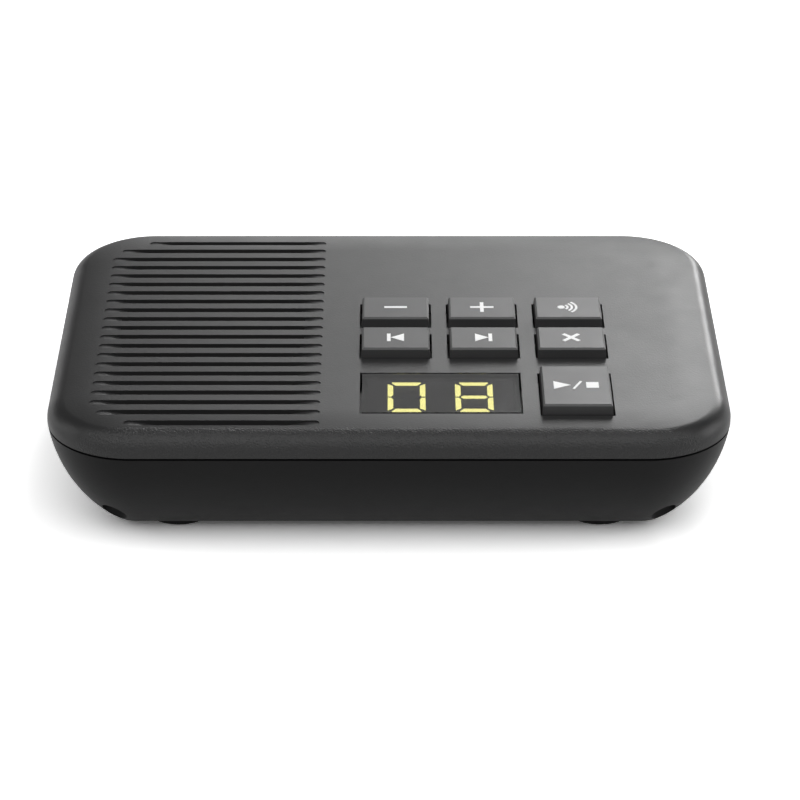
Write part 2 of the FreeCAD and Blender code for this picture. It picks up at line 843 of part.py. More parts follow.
def socket(name, x, width, mouth):
    """A modular socket below the board, its mouth towards the bay, and its contact wires."""
    body = new_body(f"{name}_socket", x)
    outside = Drawing(body, "socket_level")
    outside.rectangle("0", "socket_face - socket_depth / 2", width, "socket_depth")
    pad(body, outside, "board_level - socket_level")
    middle = "socket_face - mouth_depth / 2"
    opening = Drawing(body, "mouth_level")
    opening.rectangle("0", middle, mouth, "mouth_depth")
    cut_up(body, opening, "mouth_height")
    latch = Drawing(body, "mouth_level - latch_height")
    latch.rectangle("0", middle, "latch_width", "mouth_depth")
    cut_up(body, latch, "latch_height")
    sub_part(body, f"{name}_socket")

    wires = new_body(f"{name}_contacts", x)
    roof = "mouth_level + mouth_height"
    for step in (-1.5, -0.5, 0.5, 1.5):
        side = Drawing(wires, f"{step} * contact_pitch - contact_width / 2", "YZ_Plane")
        side.polygon([
            ("socket_face - 2", roof),
            ("socket_face - 2.6", roof),
            ("socket_face - 9", f"{roof} - 1.5"),
            ("socket_face - 9", f"{roof} - 1.15"),
        ])
        pad(wires, side, "contact_width")
    sub_part(wires, f"{name}_contacts")


def display():
    """The two-digit module on the board and the smoked lens in the cover above it."""
    room_x = "lens_width - 2 * (lens_wall + display_room)"
    room_y = "lens_depth - 2 * (lens_wall + display_room)"
    box_part("display_housing", "lens_x", "lens_y", "board_top", room_x, room_y, "display_top - board_top")

    lens = new_body("display_lens")
    lip_level = "ceiling_level - lens_lip_height"
    face = Drawing(lens, lip_level)
    face.rectangle("lens_x", "lens_y", "lens_width", "lens_depth")
    pad(lens, face, f"top_level - ({lip_level})")
    lip = Drawing(lens, lip_level)
    lip.rectangle("lens_x", "lens_y", "lens_width + 2 * lens_lip", "lens_depth + 2 * lens_lip")
    pad(lens, lip, "lens_lip_height")
    hollow = Drawing(lens, lip_level)
    hollow.rectangle("lens_x", "lens_y", "lens_width - 2 * lens_wall", "lens_depth - 2 * lens_wall")
    cut_up(lens, hollow, f"lens_under - ({lip_level})")
    sub_part(lens, "display_lens")

    lit = segments("display_segments", ["abcdef", "abcdefg"])
    unlit = segments("display_unlit_segment", ["g", ""])
    sub_part(lit, "display_segments")
    sub_part(unlit, "display_unlit_segment")


def digit_outlines():
    """Each segment's outline, a to g, about a digit's middle: mitred bars with a gap between them."""
    right = "(digit_width / 2)"
    top = "(digit_height / 2)"
    inside = f"({right} - segment_width)"
    under = f"({top} - segment_width)"
    waist = "(segment_width / 2)"
    upper = [
        (f"{right} - segment_gap", top),
        (f"{inside} - segment_gap", under),
        (f"segment_gap - {inside}", under),
        (f"segment_gap - {right}", top),
    ]
    side = [
        (right, f"{top} - segment_gap"),
        (inside, f"{under} - segment_gap"),
        (inside, f"{waist} + segment_gap"),
        (f"{right} - {waist}", "segment_gap / 2"),
        (right, "segment_gap / 2"),
    ]
    middle = [
        (f"{inside} + {waist} - segment_gap", "0"),
        (f"{inside} - segment_gap", waist),
        (f"segment_gap - {inside}", waist),
        (f"segment_gap - {inside} - {waist}", "0"),
        (f"segment_gap - {inside}", f"-{waist}"),
        (f"{inside} - segment_gap", f"-{waist}"),
    ]

    def flipped(outline, x, y):
        return [(f"{x}({dx})", f"{y}({dy})") for dx, dy in outline]
    return {
        "a": upper,
        "b": side,
        "c": flipped(side, "", "-"),
        "d": flipped(upper, "", "-"),
        "e": flipped(side, "-", "-"),
        "f": flipped(side, "-", ""),
        "g": middle,
    }


def segments(name, lit):
    """The named segments of each digit, a to g, on the display's face."""
    body = new_body(name)
    drawing = Drawing(body, "display_top")
    outlines = digit_outlines()
    for digit, letters in enumerate(lit):
        middle = f"lens_x + digit_shift + {digit} * digit_pitch"
        for letter in letters:
            drawing.polygon([(f"{middle} + ({dx})", f"lens_y + ({dy})") for dx, dy in outlines[letter]])
    pad(body, drawing, "segment_height")
    return body


def key(name, x, y, depth):
    """A hollow keycap with its lip and stem, its switch on the board and the switch's plunger."""
    cap = new_body(f"key_{name}", x, y)
    skirt = Drawing(cap, "lip_level")
    skirt.rectangle("0", "0", "key_length", depth)
    pad(cap, skirt, "top_level - lip_level")
    proud = Drawing(cap, "top_level")
    proud.rectangle("0", "0", "key_length", depth)
    raised = pad(cap, proud, "key_proud")
    raised.setExpression("TaperAngle", bound("-key_draft"))
    dress(cap, "Chamfer", raised, "key_top", "key_chamfer")
    lip = Drawing(cap, "lip_level")
    lip.rectangle("0", "0", "key_length + 2 * key_lip", f"{depth} + 2 * key_lip")
    pad(cap, lip, "key_lip_height")
    hollow = Drawing(cap, "lip_level")
    hollow.rectangle("0", "0", "key_length - 2 * key_wall", f"{depth} - 2 * key_wall")
    cut_up(cap, hollow, "key_top - key_wall - lip_level")
    stem = Drawing(cap, "plunger_top")
    stem.circle("0", "0", "stem_radius")
    pad(cap, stem, "key_top - key_wall - plunger_top")
    sub_part(cap, f"key_{name}")

    switch = new_body(f"switch_{name}", x, y)
    base = Drawing(switch, "board_top")
    base.rectangle("0", "0", "switch_side", "switch_side")
    pad(switch, base, "switch_height")
    well = "plunger_depth + key_travel + plunger_gap"
    bore = Drawing(switch, f"switch_top - ({well})")
    bore.circle("0", "0", "plunger_radius + plunger_gap")
    cut_up(switch, bore, well)
    sub_part(switch, f"switch_{name}")

    plunger = new_body(f"plunger_{name}", x, y)
    bottom = "switch_top - plunger_depth"
    turn(plunger, [("0", bottom), ("plunger_radius", bottom), ("plunger_radius", "plunger_top"),
                   ("0", "plunger_top")])
    sub_part(plunger, f"plunger_{name}")


def turned(angle, along, across):
    """A point so far along and so far across a ray at an angle in degrees."""
    c = f"cos({angle} * 1deg)"
    s = f"sin({angle} * 1deg)"
    return f"({along}) * {c} - ({across}) * {s}", f"({along}) * {s} + ({across}) * {c}"


def clamp_point(angle, along, across):
    """A point beside the ray from the speaker's middle at an angle."""
    x, y = turned(angle, along, across)
    return f"speaker_x + {x}", f"speaker_y + {y}"


def clamp_places():
    return [clamp_point(angle, "clamp_circle", "0") for angle in (90, 210, 330)]


def speaker():
    """The loudspeaker under the grille, built up of its gasket, frame, magnet and cone."""
    x = "speaker_x"
    y = "speaker_y"
    gasket = new_body("speaker_gasket", x, y)
    ring = "speaker_radius - gasket_width"
    turn(gasket, [(ring, "speaker_top"), ("speaker_radius", "speaker_top"),
                  ("speaker_radius", "ceiling_level"), (ring, "ceiling_level")])
    sub_part(gasket, "speaker_gasket")

    bore = "pole_radius + coil_gap"
    ledge = "speaker_rim_level + basket_wall"
    frame = new_body("speaker_basket", x, y)
    turn(frame, [
        ("speaker_radius - speaker_rim", "speaker_top"),
        ("speaker_radius", "speaker_top"),
        ("speaker_radius", "speaker_rim_level"),
        ("speaker_radius - speaker_rim", "speaker_rim_level"),
        ("magnet_radius + basket_wall", "magnet_top"),
        (bore, "magnet_top"),
        (bore, "magnet_top + basket_wall"),
        ("magnet_radius", "magnet_top + basket_wall"),
        ("speaker_radius - 2 * speaker_rim", ledge),
        ("speaker_radius - speaker_rim", ledge),
    ])
    windows = Drawing(frame, "magnet_top - 1")
    inner = "(magnet_radius + basket_web)"
    outer = "(speaker_radius - speaker_rim - basket_web)"
    sides = [(inner, f"-{inner} / 4"), (outer, f"-{outer} / 3"),
             (outer, f"{outer} / 3"), (inner, f"{inner} / 4")]
    for angle in (45, 135, 225, 315):
        windows.polygon([turned(angle, along, across) for along, across in sides])
    cut_up(frame, windows, "speaker_rim_level - magnet_top + 1")
    tab = block(f"{x} + speaker_radius - basket_wall / 2", f"{y} - 4", "speaker_rim_level - 4",
                "basket_wall", "8", "4 + basket_wall")
    sub_part(joined([frame, tab]), "speaker_frame")

    magnet = new_body("speaker_magnet", x, y)
    plate = "speaker_bottom + 1"
    turn(magnet, [
        ("0", "speaker_bottom"),
        ("magnet_radius", "speaker_bottom"),
        ("magnet_radius", "magnet_top"),
        (bore, "magnet_top"),
        (bore, plate),
        ("pole_radius", plate),
        ("pole_radius", "magnet_top"),
        ("0", "magnet_top"),
    ])
    sub_part(magnet, "speaker_magnet")

    edge = f"{ledge} + cone_clearance"
    neck = "magnet_top + 2.2"
    coil_in = "coil_radius - cone_wall / 2"
    coil_out = "coil_radius + cone_wall / 2"
    cone = new_body("speaker_cone", x, y)
    turn(cone, [
        (coil_in, f"{plate} + 1"),
        (coil_out, f"{plate} + 1"),
        (coil_out, neck),
        ("cone_radius", edge),
        ("cone_radius", f"{edge} + cone_wall"),
        (coil_out, f"{neck} + cone_wall"),
        ("0", f"{neck} + 3 * cone_wall"),
        ("0", f"{neck} + 2 * cone_wall"),
        (coil_in, f"{neck} - cone_wall / 2"),
    ])
    sub_part(cone, "speaker_cone")

    surround = new_body("speaker_surround", x, y)
    seat = "speaker_radius - speaker_rim - cone_clearance"
    roll = "(cone_edge - speaker_rim)"
    turn(surround, [
        ("cone_radius + cone_clearance", edge),
        (f"cone_radius + {roll} / 2", f"{edge} + 0.7"),
        (f"cone_radius + {roll}", ledge),
        (seat, ledge),
        (seat, f"{ledge} + cone_wall"),
        (f"cone_radius + {roll} + 0.2", f"{ledge} + cone_wall"),
        (f"cone_radius + {roll} / 2", f"{edge} + 1.2"),
        ("cone_radius + cone_clearance", f"{edge} + cone_wall"),
    ])
    sub_part(surround, "speaker_surround")


def speaker_mounting():
    """Three clamps, their screws, and the springs that join the speaker to the board."""
    clamps = new_body("speaker_clamps")
    plan = Drawing(clamps, "clamp_level")
    near = "speaker_radius - clamp_bite"
    far = "clamp_circle + clamp_boss_radius"
    half = "clamp_width / 2"
    for angle in (90, 210, 330):
        ends = [(near, f"-{half}"), (far, f"-{half}"), (far, half), (near, half)]
        plan.polygon([clamp_point(angle, along, across) for along, across in ends])
        plan.circle(*clamp_point(angle, "clamp_circle", "0"), "board_screw_radius + key_rest_gap")
    pad(clamps, plan, "clamp_thickness")
    sub_part(clamps, "speaker_clamps")
    screws("clamp_screws", clamp_places(), "board_screw_radius", "board_screw_head_radius",
           "clamp_level - board_screw_head_height", "board_screw_head_height", "clamp_level",
           "ceiling_level - clamp_level - guide_gap")

    springs = new_body("speaker_contacts")
    face = "speaker_x + speaker_radius"
    for step in (-2.5, 2.5):
        side = Drawing(springs, f"-(speaker_y + {step}) - 0.6", "XZ_Plane")
        side.polygon([
            ("board_left + 5", "board_top"),
            ("board_left + 5", "board_top + 0.3"),
            ("board_left + 1", "board_top + 0.3"),
            (f"{face} + 0.3", "board_top + 2.6"),
            (face, "board_top + 2.6"),
            (face, "board_top + 2.1"),
            ("board_left + 0.6", "board_top"),
        ])
        pad(springs, side, "1.2")
    sub_part(springs, "speaker_contacts")


def check_all():
    """Stop if any object failed or a sub-part's shape isn't sound."""
    DOC.recompute()
    for thing in DOC.Objects:
        if {"Invalid", "Error"} & set(thing.State):
            raise RuntimeError(f"{thing.Name} ({thing.Label}) failed: {thing.State}")
    for thing in NODES:
        if thing.Shape.isNull() or not thing.Shape.isValid():
            raise RuntimeError(f"{thing.Label} has no sound shape")


def write_all():
    """Write each sub-part to its own file."""
    os.makedirs("parts", exist_ok=True)
    for thing in NODES:
        thing.Shape.exportStep(f"parts/{thing.Label}.step")
        print(thing.Label, len(thing.Shape.Solids), round(thing.Shape.Volume, 1))


fill_sheet()
top_cover()
bottom_case()
feet()
screws("case_screws", four_corners("post_x", "post_y"), "screw_radius", "screw_head_radius",
       "shelf_level - screw_head_height", "screw_head_height", "shelf_level", "screw_length")
circuit_board()
board_components()
antenna("antenna_left", "column_one + 4")
antenna("antenna_right", "column_two + 8")
socket("line", "line_x", "line_width", "line_mouth")
socket("power", "power_x", "power_width", "power_mouth")
display()
for name, x, y, depth in KEYS:
    key(name, x, y, depth)
speaker()
speaker_mounting()
check_all()
write_all()
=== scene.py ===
import json
import math

import bmesh
import bpy
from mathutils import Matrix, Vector


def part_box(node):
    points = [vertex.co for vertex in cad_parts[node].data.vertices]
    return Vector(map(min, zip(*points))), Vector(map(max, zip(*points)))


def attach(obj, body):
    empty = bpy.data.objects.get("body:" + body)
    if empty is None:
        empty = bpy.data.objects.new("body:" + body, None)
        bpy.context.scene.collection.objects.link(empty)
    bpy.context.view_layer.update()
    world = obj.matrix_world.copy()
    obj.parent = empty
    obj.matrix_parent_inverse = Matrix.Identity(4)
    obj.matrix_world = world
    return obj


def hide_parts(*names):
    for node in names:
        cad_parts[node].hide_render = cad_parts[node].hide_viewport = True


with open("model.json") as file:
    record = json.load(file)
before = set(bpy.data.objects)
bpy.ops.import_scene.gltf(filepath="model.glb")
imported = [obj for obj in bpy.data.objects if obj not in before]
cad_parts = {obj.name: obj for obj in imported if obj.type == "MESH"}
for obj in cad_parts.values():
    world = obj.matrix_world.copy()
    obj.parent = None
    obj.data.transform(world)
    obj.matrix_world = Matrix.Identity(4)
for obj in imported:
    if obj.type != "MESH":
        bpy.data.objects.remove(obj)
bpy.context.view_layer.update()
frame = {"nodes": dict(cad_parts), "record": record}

# Sizes of the housing in metres. The gaps and the wells follow the photograph.
MM = 0.001
WIDTH = 119.8 * MM
DEPTH = 85.3 * MM
CORNER = 15.4 * MM
SEAM = 20.15 * MM
SEAM_GAP = 0.42 * MM
TOP = 24.8 * MM
WALL = 2 * MM
CEILING = TOP - WALL
ROLL = 3.8 * MM
FOOT_DROP = 2 * MM
FLOOR = FOOT_DROP + WALL
TONGUE_INSET = 1.1 * MM
TONGUE_PLAY = 0.1 * MM
TONGUE_TOP = SEAM - SEAM_GAP + 1.5 * MM

# How far a cutter runs past its target, a joined piece reaches into it, and a cap stays off a bend
OVERRUN = 1 * MM
EMBED = 0.5 * MM
CAP_MARGIN = 0.4 * MM

# Screw posts, their wells, and the screws' bores
POST_X = 48.2 * MM
POST_Y = 34.4 * MM
POST_RADIUS = 3.2 * MM
POST_BORE = 1.3 * MM
POST_BORE_DEPTH = 7 * MM
SHELF = SEAM - 8 * MM
SHELF_TOP = SHELF + 2 * MM
SHELF_HOLE = 1.55 * MM
WELL_RADIUS = 2.15 * MM
WELL_WALL_RADIUS = 4 * MM
SMALL_BORE = 1.15 * MM
STANDOFF_RADIUS = 2.4 * MM
STANDOFF_BORE_DEPTH = 7 * MM

# Cable bay with its panel, and the sockets' windows in the panel
BAY_X = 12.95 * MM
BAY_ROOF = 14 * MM
BAY_WIDTH = 34 * MM
BAY_REACH = 30 * MM
BAY_BLOCK_WIDTH = BAY_WIDTH + 2 * WALL
PANEL_BACK = DEPTH / 2 - 15.5 * MM
PANEL_FRONT = PANEL_BACK - WALL
SOCKET_MOUTHS = {"line_socket": 9.7 * MM, "power_socket": 7.7 * MM}
WINDOW_PLAY = 0.6 * MM
WINDOW_DEPTH = 4 * MM
WINDOW_BELOW = 4.85 * MM
WINDOW_ABOVE = 3.65 * MM

FEET = ["foot_front_left", "foot_front_right", "foot_back_left", "foot_back_right"]
FOOT_GAP = 0.1 * MM

# Speaker's collar, clamp bosses and the slots above it
COLLAR_GAP = 0.3 * MM
COLLAR_WALL = 1.2 * MM
COLLAR_HEIGHT = 2.6 * MM
CLAMP_REACH = 4.8 * MM
CLAMP_BEARINGS = (90, 210, 330)
BOSS_RADIUS = 2.2 * MM
BOSS_LOW = 20 * MM
SLOT_INSET = 2 * MM

# The bowl's arc, which leans inwards from the seam and ends on the flat bottom
BOWL_INSET = 10.6 * MM
BOWL_LEAN = math.radians(8)
BOWL_DROP = SEAM - FOOT_DROP
BOWL_REACH = BOWL_INSET * math.cos(BOWL_LEAN) - BOWL_DROP * math.sin(BOWL_LEAN)
BOWL_RADIUS = (BOWL_INSET ** 2 + BOWL_DROP ** 2) / (2 * BOWL_REACH)
BOWL_CENTRE = SEAM + BOWL_RADIUS * math.sin(BOWL_LEAN)

# The cover's top sags a little towards its edge before it rolls over
CROWN = 10 * MM
LEAN = math.radians(6)
HALF_FALL = math.tan(LEAN) / 2
BEND = (ROLL - HALF_FALL * CROWN) / (math.cos(LEAN) - HALF_FALL * (1 - math.sin(LEAN)))
ROLL_START = BEND * (1 - math.sin(LEAN))
SAG = HALF_FALL / (CROWN - ROLL_START)

# Grille
ROWS = 21
ROW_FRONT = 4.87 * MM - DEPTH / 2
ROW_BACK = DEPTH / 2 - 6.88 * MM
ROW_PITCH = (ROW_BACK - ROW_FRONT) / (ROWS - 1)
GRILLE_LEFT = 7.7 * MM - WIDTH / 2
GRILLE_RIGHT = -12 * MM
GRILLE_CORNER = 9 * MM
GRILLE_EDGE = 0.35 * MM
SLOT_WIDTH = 1.6 * MM
GROOVE_DEPTH = 1 * MM
GROOVE_END = 0.2 * MM
GROOVE_SLOPE = 7 * MM
SHORTENED_ROWS = 2

# A groove bar's stations, and the shares of its half length that make the round end and the slope
BAR_STATIONS = 36
ROUND_SHARE = 14 / (BAR_STATIONS - 1)
SLOPE_SHARE = 32 / (BAR_STATIONS - 1)

KEYS = ["minus", "plus", "paging", "skip_back", "skip_forward", "delete", "play"]
KEY_LIP = 0.9 * MM
KEY_GAP = 0.36 * MM
KEY_CUT_OVERLAP = 0.2 * MM
GUIDE_GAP = 0.3 * MM
GUIDE_WALL = 1 * MM
GUIDE_HEIGHT = 2.2 * MM
LENS_GAP = 0.4 * MM
LENS_LIP = 1.4 * MM


def key_box(name):
    """The keycap's lowest and highest corners without its lip."""
    low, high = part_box(f"key_{name}")
    lip = Vector((KEY_LIP, KEY_LIP, 0))
    return low + lip, high - lip


def speaker_place():
    """The speaker's middle and its outer radius."""
    low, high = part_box("speaker_gasket")
    middle = (low + high) / 2
    return middle.x, middle.y, (high.x - low.x) / 2


SPEAKER_X, SPEAKER_Y, SPEAKER_RADIUS = speaker_place()


# Mesh building

SHARP_ANGLE = math.radians(35)
BORE_STEPS = 24


def new_piece(name, mesh):
    """An object at the origin for a mesh."""
    piece = bpy.data.objects.new(name, mesh)
    bpy.context.scene.collection.objects.link(piece)
    return piece


def mesh_of(name, build):
    """A mesh filled by a function that gets an empty bmesh."""
    shape = bmesh.new()
    build(shape)
    bmesh.ops.remove_doubles(shape, verts=shape.verts, dist=0.0001 * MM)
    bmesh.ops.recalc_face_normals(shape, faces=shape.faces)
    mesh = bpy.data.meshes.new(name)
    shape.to_mesh(mesh)
    shape.free()
    return mesh


def rounded_outline(half_x, half_y, radius, steps):
    """Points of a rounded rectangle, anticlockwise from the front right corner."""
    points = []
    corners = [(1, -1, -90), (1, 1, 0), (-1, 1, 90), (-1, -1, 180)]
    for sign_x, sign_y, start in corners:
        for step in range(steps + 1):
            angle = math.radians(start + 90 * step / steps)
            x = sign_x * (half_x - radius) + radius * math.cos(angle)
            y = sign_y * (half_y - radius) + radius * math.sin(angle)
            points.append((x, y))
    return points


def add_loft(shape, rings):
    """A closed skin through rings of as many points each, with a flat cap at each end."""
    loops = [[shape.verts.new(point) for point in ring] for ring in rings]
    count = len(loops[0])
    for low, high in zip(loops, loops[1:]):
        for k in range(count):
            n = (k + 1) % count
            shape.faces.new((low[k], low[n], high[n], high[k]))
    shape.faces.new(list(reversed(loops[0])))
    shape.faces.new(loops[-1])


def housing_ring(inset, z, steps=28):
    """The housing's outline at an inset and a height."""
    outline = rounded_outline(WIDTH / 2 - inset, DEPTH / 2 - inset, CORNER - inset, steps)
    return [(x, y, z) for x, y in outline]


def add_prism(shape, outline, low, high):
    """An upright prism on an outline."""
    add_loft(shape, [[(x, y, low) for x, y in outline], [(x, y, high) for x, y in outline]])


def add_box(shape, x, y, width, depth, low, high):
    """An upright box about a point."""
    half = width / 2
    deep = depth / 2
    outline = [(x - half, y - deep), (x + half, y - deep), (x + half, y + deep), (x - half, y + deep)]
    add_prism(shape, outline, low, high)


def add_room(shape, low, high, margin, bottom, top):
    """An upright box round two corners with a margin, between two heights."""
    middle = (low + high) / 2
    width = high.x - low.x + 2 * margin
    depth = high.y - low.y + 2 * margin
    add_box(shape, middle.x, middle.y, width, depth, bottom, top)


def circle_outline(x, y, radius, steps=32):
    """Points of a circle."""
    turns = [2 * math.pi * k / steps for k in range(steps)]
    return [(x + radius * math.cos(turn), y + radius * math.sin(turn)) for turn in turns]


def add_ring(shape, x, y, inner, outer, low, high, steps=64):
    """An upright ring."""
    wide = circle_outline(x, y, outer, steps)
    narrow = circle_outline(x, y, inner, steps)
    loops = [
        [shape.verts.new((px, py, low)) for px, py in wide],
        [shape.verts.new((px, py, high)) for px, py in wide],
        [shape.verts.new((px, py, high)) for px, py in narrow],
        [shape.verts.new((px, py, low)) for px, py in narrow],
    ]
    for here, there in zip(loops, loops[1:] + loops[:1]):
        for k in range(steps):
            n = (k + 1) % steps
            shape.faces.new((here[k], here[n], there[n], there[k]))


def corners_of(x, y):
    """The four points at plus and minus x and y."""
    return [(a * x, b * y) for a in (-1, 1) for b in (-1, 1)]


def evaluated(piece, name):
    """A plain mesh of a piece with its modifiers applied."""
    graph = bpy.context.evaluated_depsgraph_get()
    mesh = bpy.data.meshes.new_from_object(piece.evaluated_get(graph))
    mesh.name = name
    return mesh


def combine(base, operation, tool):
    """Join to, cut from or cross the base with a piece or a build function's shape, and drop it."""
    if not isinstance(tool, bpy.types.Object):
        tool = new_piece("tool", mesh_of("tool", tool))
    step = base.modifiers.new("step", "BOOLEAN")
    step.operation = operation
    step.solver = "EXACT"
    step.object = tool
    mesh = evaluated(base, base.name)
    base.modifiers.clear()
    old = base.data
    base.data = mesh
    bpy.data.meshes.remove(old)
    spare = tool.data
    bpy.data.objects.remove(tool)
    bpy.data.meshes.remove(spare)


def finish_surface(piece):
    """Shade the bends smoothly, keep the edges sharp and give the faces even normals."""
    piece.data.shade_smooth()
    piece.data.set_sharp_from_angle(angle=SHARP_ANGLE)
    weighted = piece.modifiers.new("normals", "WEIGHTED_NORMAL")
    weighted.mode = "FACE_AREA"
    weighted.keep_sharp = True
    mesh = evaluated(piece, piece.name)
    piece.modifiers.clear()
    piece.data = mesh


def wear(piece, finish):
    """Give the whole piece one finish."""
    piece.data.materials.clear()
    piece.data.materials.append(FINISHES[finish])


# Top cover

SAG_STEPS = 10
ROLL_STEPS = 18
INNER_STEPS = 8


def cover_profile():
    """Insets and heights round the cover's wall, from its top middle out and back inside."""
    points = [(CROWN + CAP_MARGIN, TOP)]
    for step in range(SAG_STEPS):
        inset = CROWN + (ROLL_START - CROWN) * step / SAG_STEPS
        points.append((inset, TOP - SAG * (CROWN - inset) ** 2))
    for step in range(ROLL_STEPS + 1):
        turn = LEAN + (math.pi / 2 - LEAN) * step / ROLL_STEPS
        points.append((BEND - BEND * math.sin(turn), TOP - ROLL + BEND * math.cos(turn)))
    rebate = TONGUE_INSET - TONGUE_PLAY
    ledge = TONGUE_TOP + TONGUE_PLAY
    points += [(0, SEAM), (rebate, SEAM), (rebate, ledge), (WALL, ledge)]
    inner = ROLL - WALL
    for step in range(INNER_STEPS + 1):
        turn = math.radians(90 * step / INNER_STEPS)
        points.append((ROLL - inner * math.cos(turn), TOP - ROLL + inner * math.sin(turn)))
    return points


def clamp_places():
    """Where the speaker's three clamps are screwed."""
    reach = SPEAKER_RADIUS + CLAMP_REACH
    turns = [math.radians(bearing) for bearing in CLAMP_BEARINGS]
    return [(SPEAKER_X + reach * math.cos(turn), SPEAKER_Y + reach * math.sin(turn)) for turn in turns]


def cover_inside(shape):
    """Posts, the clamps' bosses, the speaker's collar and the keys' guides."""
    inside = CEILING + EMBED
    for x, y in corners_of(POST_X, POST_Y):
        add_prism(shape, circle_outline(x, y, POST_RADIUS), SHELF_TOP, inside)
    for x, y in clamp_places():
        add_prism(shape, circle_outline(x, y, BOSS_RADIUS), BOSS_LOW, inside)
    collar = SPEAKER_RADIUS + COLLAR_GAP
    add_ring(shape, SPEAKER_X, SPEAKER_Y, collar, collar + COLLAR_WALL, CEILING - COLLAR_HEIGHT, inside)
    margin = KEY_LIP + GUIDE_GAP + GUIDE_WALL
    for first, last in (("skip_back", "paging"), ("play", "play")):
        low = key_box(first)[0]
        high = key_box(last)[1]
        add_room(shape, low, high, margin, CEILING - GUIDE_HEIGHT, inside)


def key_rooms(shape):
    """The room for each key's lip, and the pilot holes of the posts and the bosses."""
    for name in KEYS:
        low, high = key_box(name)
        add_room(shape, low, high, KEY_LIP + GUIDE_GAP, CEILING - GUIDE_HEIGHT - OVERRUN, CEILING)
    for x, y in corners_of(POST_X, POST_Y):
        add_prism(shape, circle_outline(x, y, POST_BORE, BORE_STEPS), SHELF_TOP - OVERRUN,
                  SHELF_TOP + POST_BORE_DEPTH)
    for x, y in clamp_places():
        add_prism(shape, circle_outline(x, y, SMALL_BORE, BORE_STEPS), BOSS_LOW - OVERRUN, CEILING)


def top_openings(shape):
    """The keys' and the lens's openings through the cover."""
    for name in KEYS:
        low, high = key_box(name)
        add_room(shape, low, high, KEY_GAP, CEILING - KEY_CUT_OVERLAP, TOP + OVERRUN)
    low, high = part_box("display_lens")
    add_room(shape, low, high, LENS_GAP - LENS_LIP, CEILING - OVERRUN, TOP + OVERRUN)


def new_tree(name, sizes):
    """An empty geometry tree with a named input for each size and one for the material."""
    tree = bpy.data.node_groups.new(name, "GeometryNodeTree")
    for label, value in sizes.items():
        kind = "NodeSocketInt" if isinstance(value, int) else "NodeSocketFloat"
        tree.interface.new_socket(label, in_out="INPUT", socket_type=kind)
    tree.interface.new_socket("Material", in_out="INPUT", socket_type="NodeSocketMaterial")
    tree.interface.new_socket("Geometry", in_out="OUTPUT", socket_type="NodeSocketGeometry")
    return tree, tree.nodes.new("NodeGroupInput").outputs


def add_node(tree, kind, inputs=(), **settings):
    """A node with its settings, its plain values and its links."""
    node = tree.nodes.new(kind)
    for name, value in settings.items():
        setattr(node, name, value)
    for socket, value in dict(inputs).items():
        if isinstance(value, bpy.types.NodeSocket):
            tree.links.new(value, node.inputs[socket])
        else:
            node.inputs[socket].default_value = value
    return node


def reckon(tree, operation, *values):
    """The result of one sum on sockets and numbers."""
    return add_node(tree, "ShaderNodeMath", enumerate(values), operation=operation).outputs[0]


def passing(tree, value, low, high, start, end, interpolation="LINEAR"):
    """A value that goes from start to end while another goes from low to high."""
    ends = {0: value, 1: low, 2: high, 3: start, 4: end}
    return add_node(tree, "ShaderNodeMapRange", ends, interpolation_type=interpolation).outputs[0]


def vector(tree, x=0.0, y=0.0, z=0.0):
    """A vector of three sockets or numbers."""
    return add_node(tree, "ShaderNodeCombineXYZ", {0: x, 1: y, 2: z}).outputs[0]


def finish_tree(tree, given, shape):
    """Give the tree's shape its material and put it out."""
    dressed = add_node(tree, "GeometryNodeSetMaterial",
                       {"Geometry": shape, "Material": given["Material"]})
    add_node(tree, "NodeGroupOutput", {"Geometry": dressed.outputs[0]})
    return tree


GROOVE_SIZES = {
    "Rows": ROWS, "Pitch": ROW_PITCH, "Front": ROW_FRONT,
    "Left": GRILLE_LEFT, "Right": GRILLE_RIGHT, "Corner": GRILLE_CORNER, "Edge": GRILLE_EDGE,
    "Bend": SLOT_WIDTH / 2, "Depth": GROOVE_DEPTH, "End Depth": GROOVE_END, "Slope": GROOVE_SLOPE,
    "Top": TOP, "Crown": DEPTH / 2 - CROWN, "Sag": SAG,
}


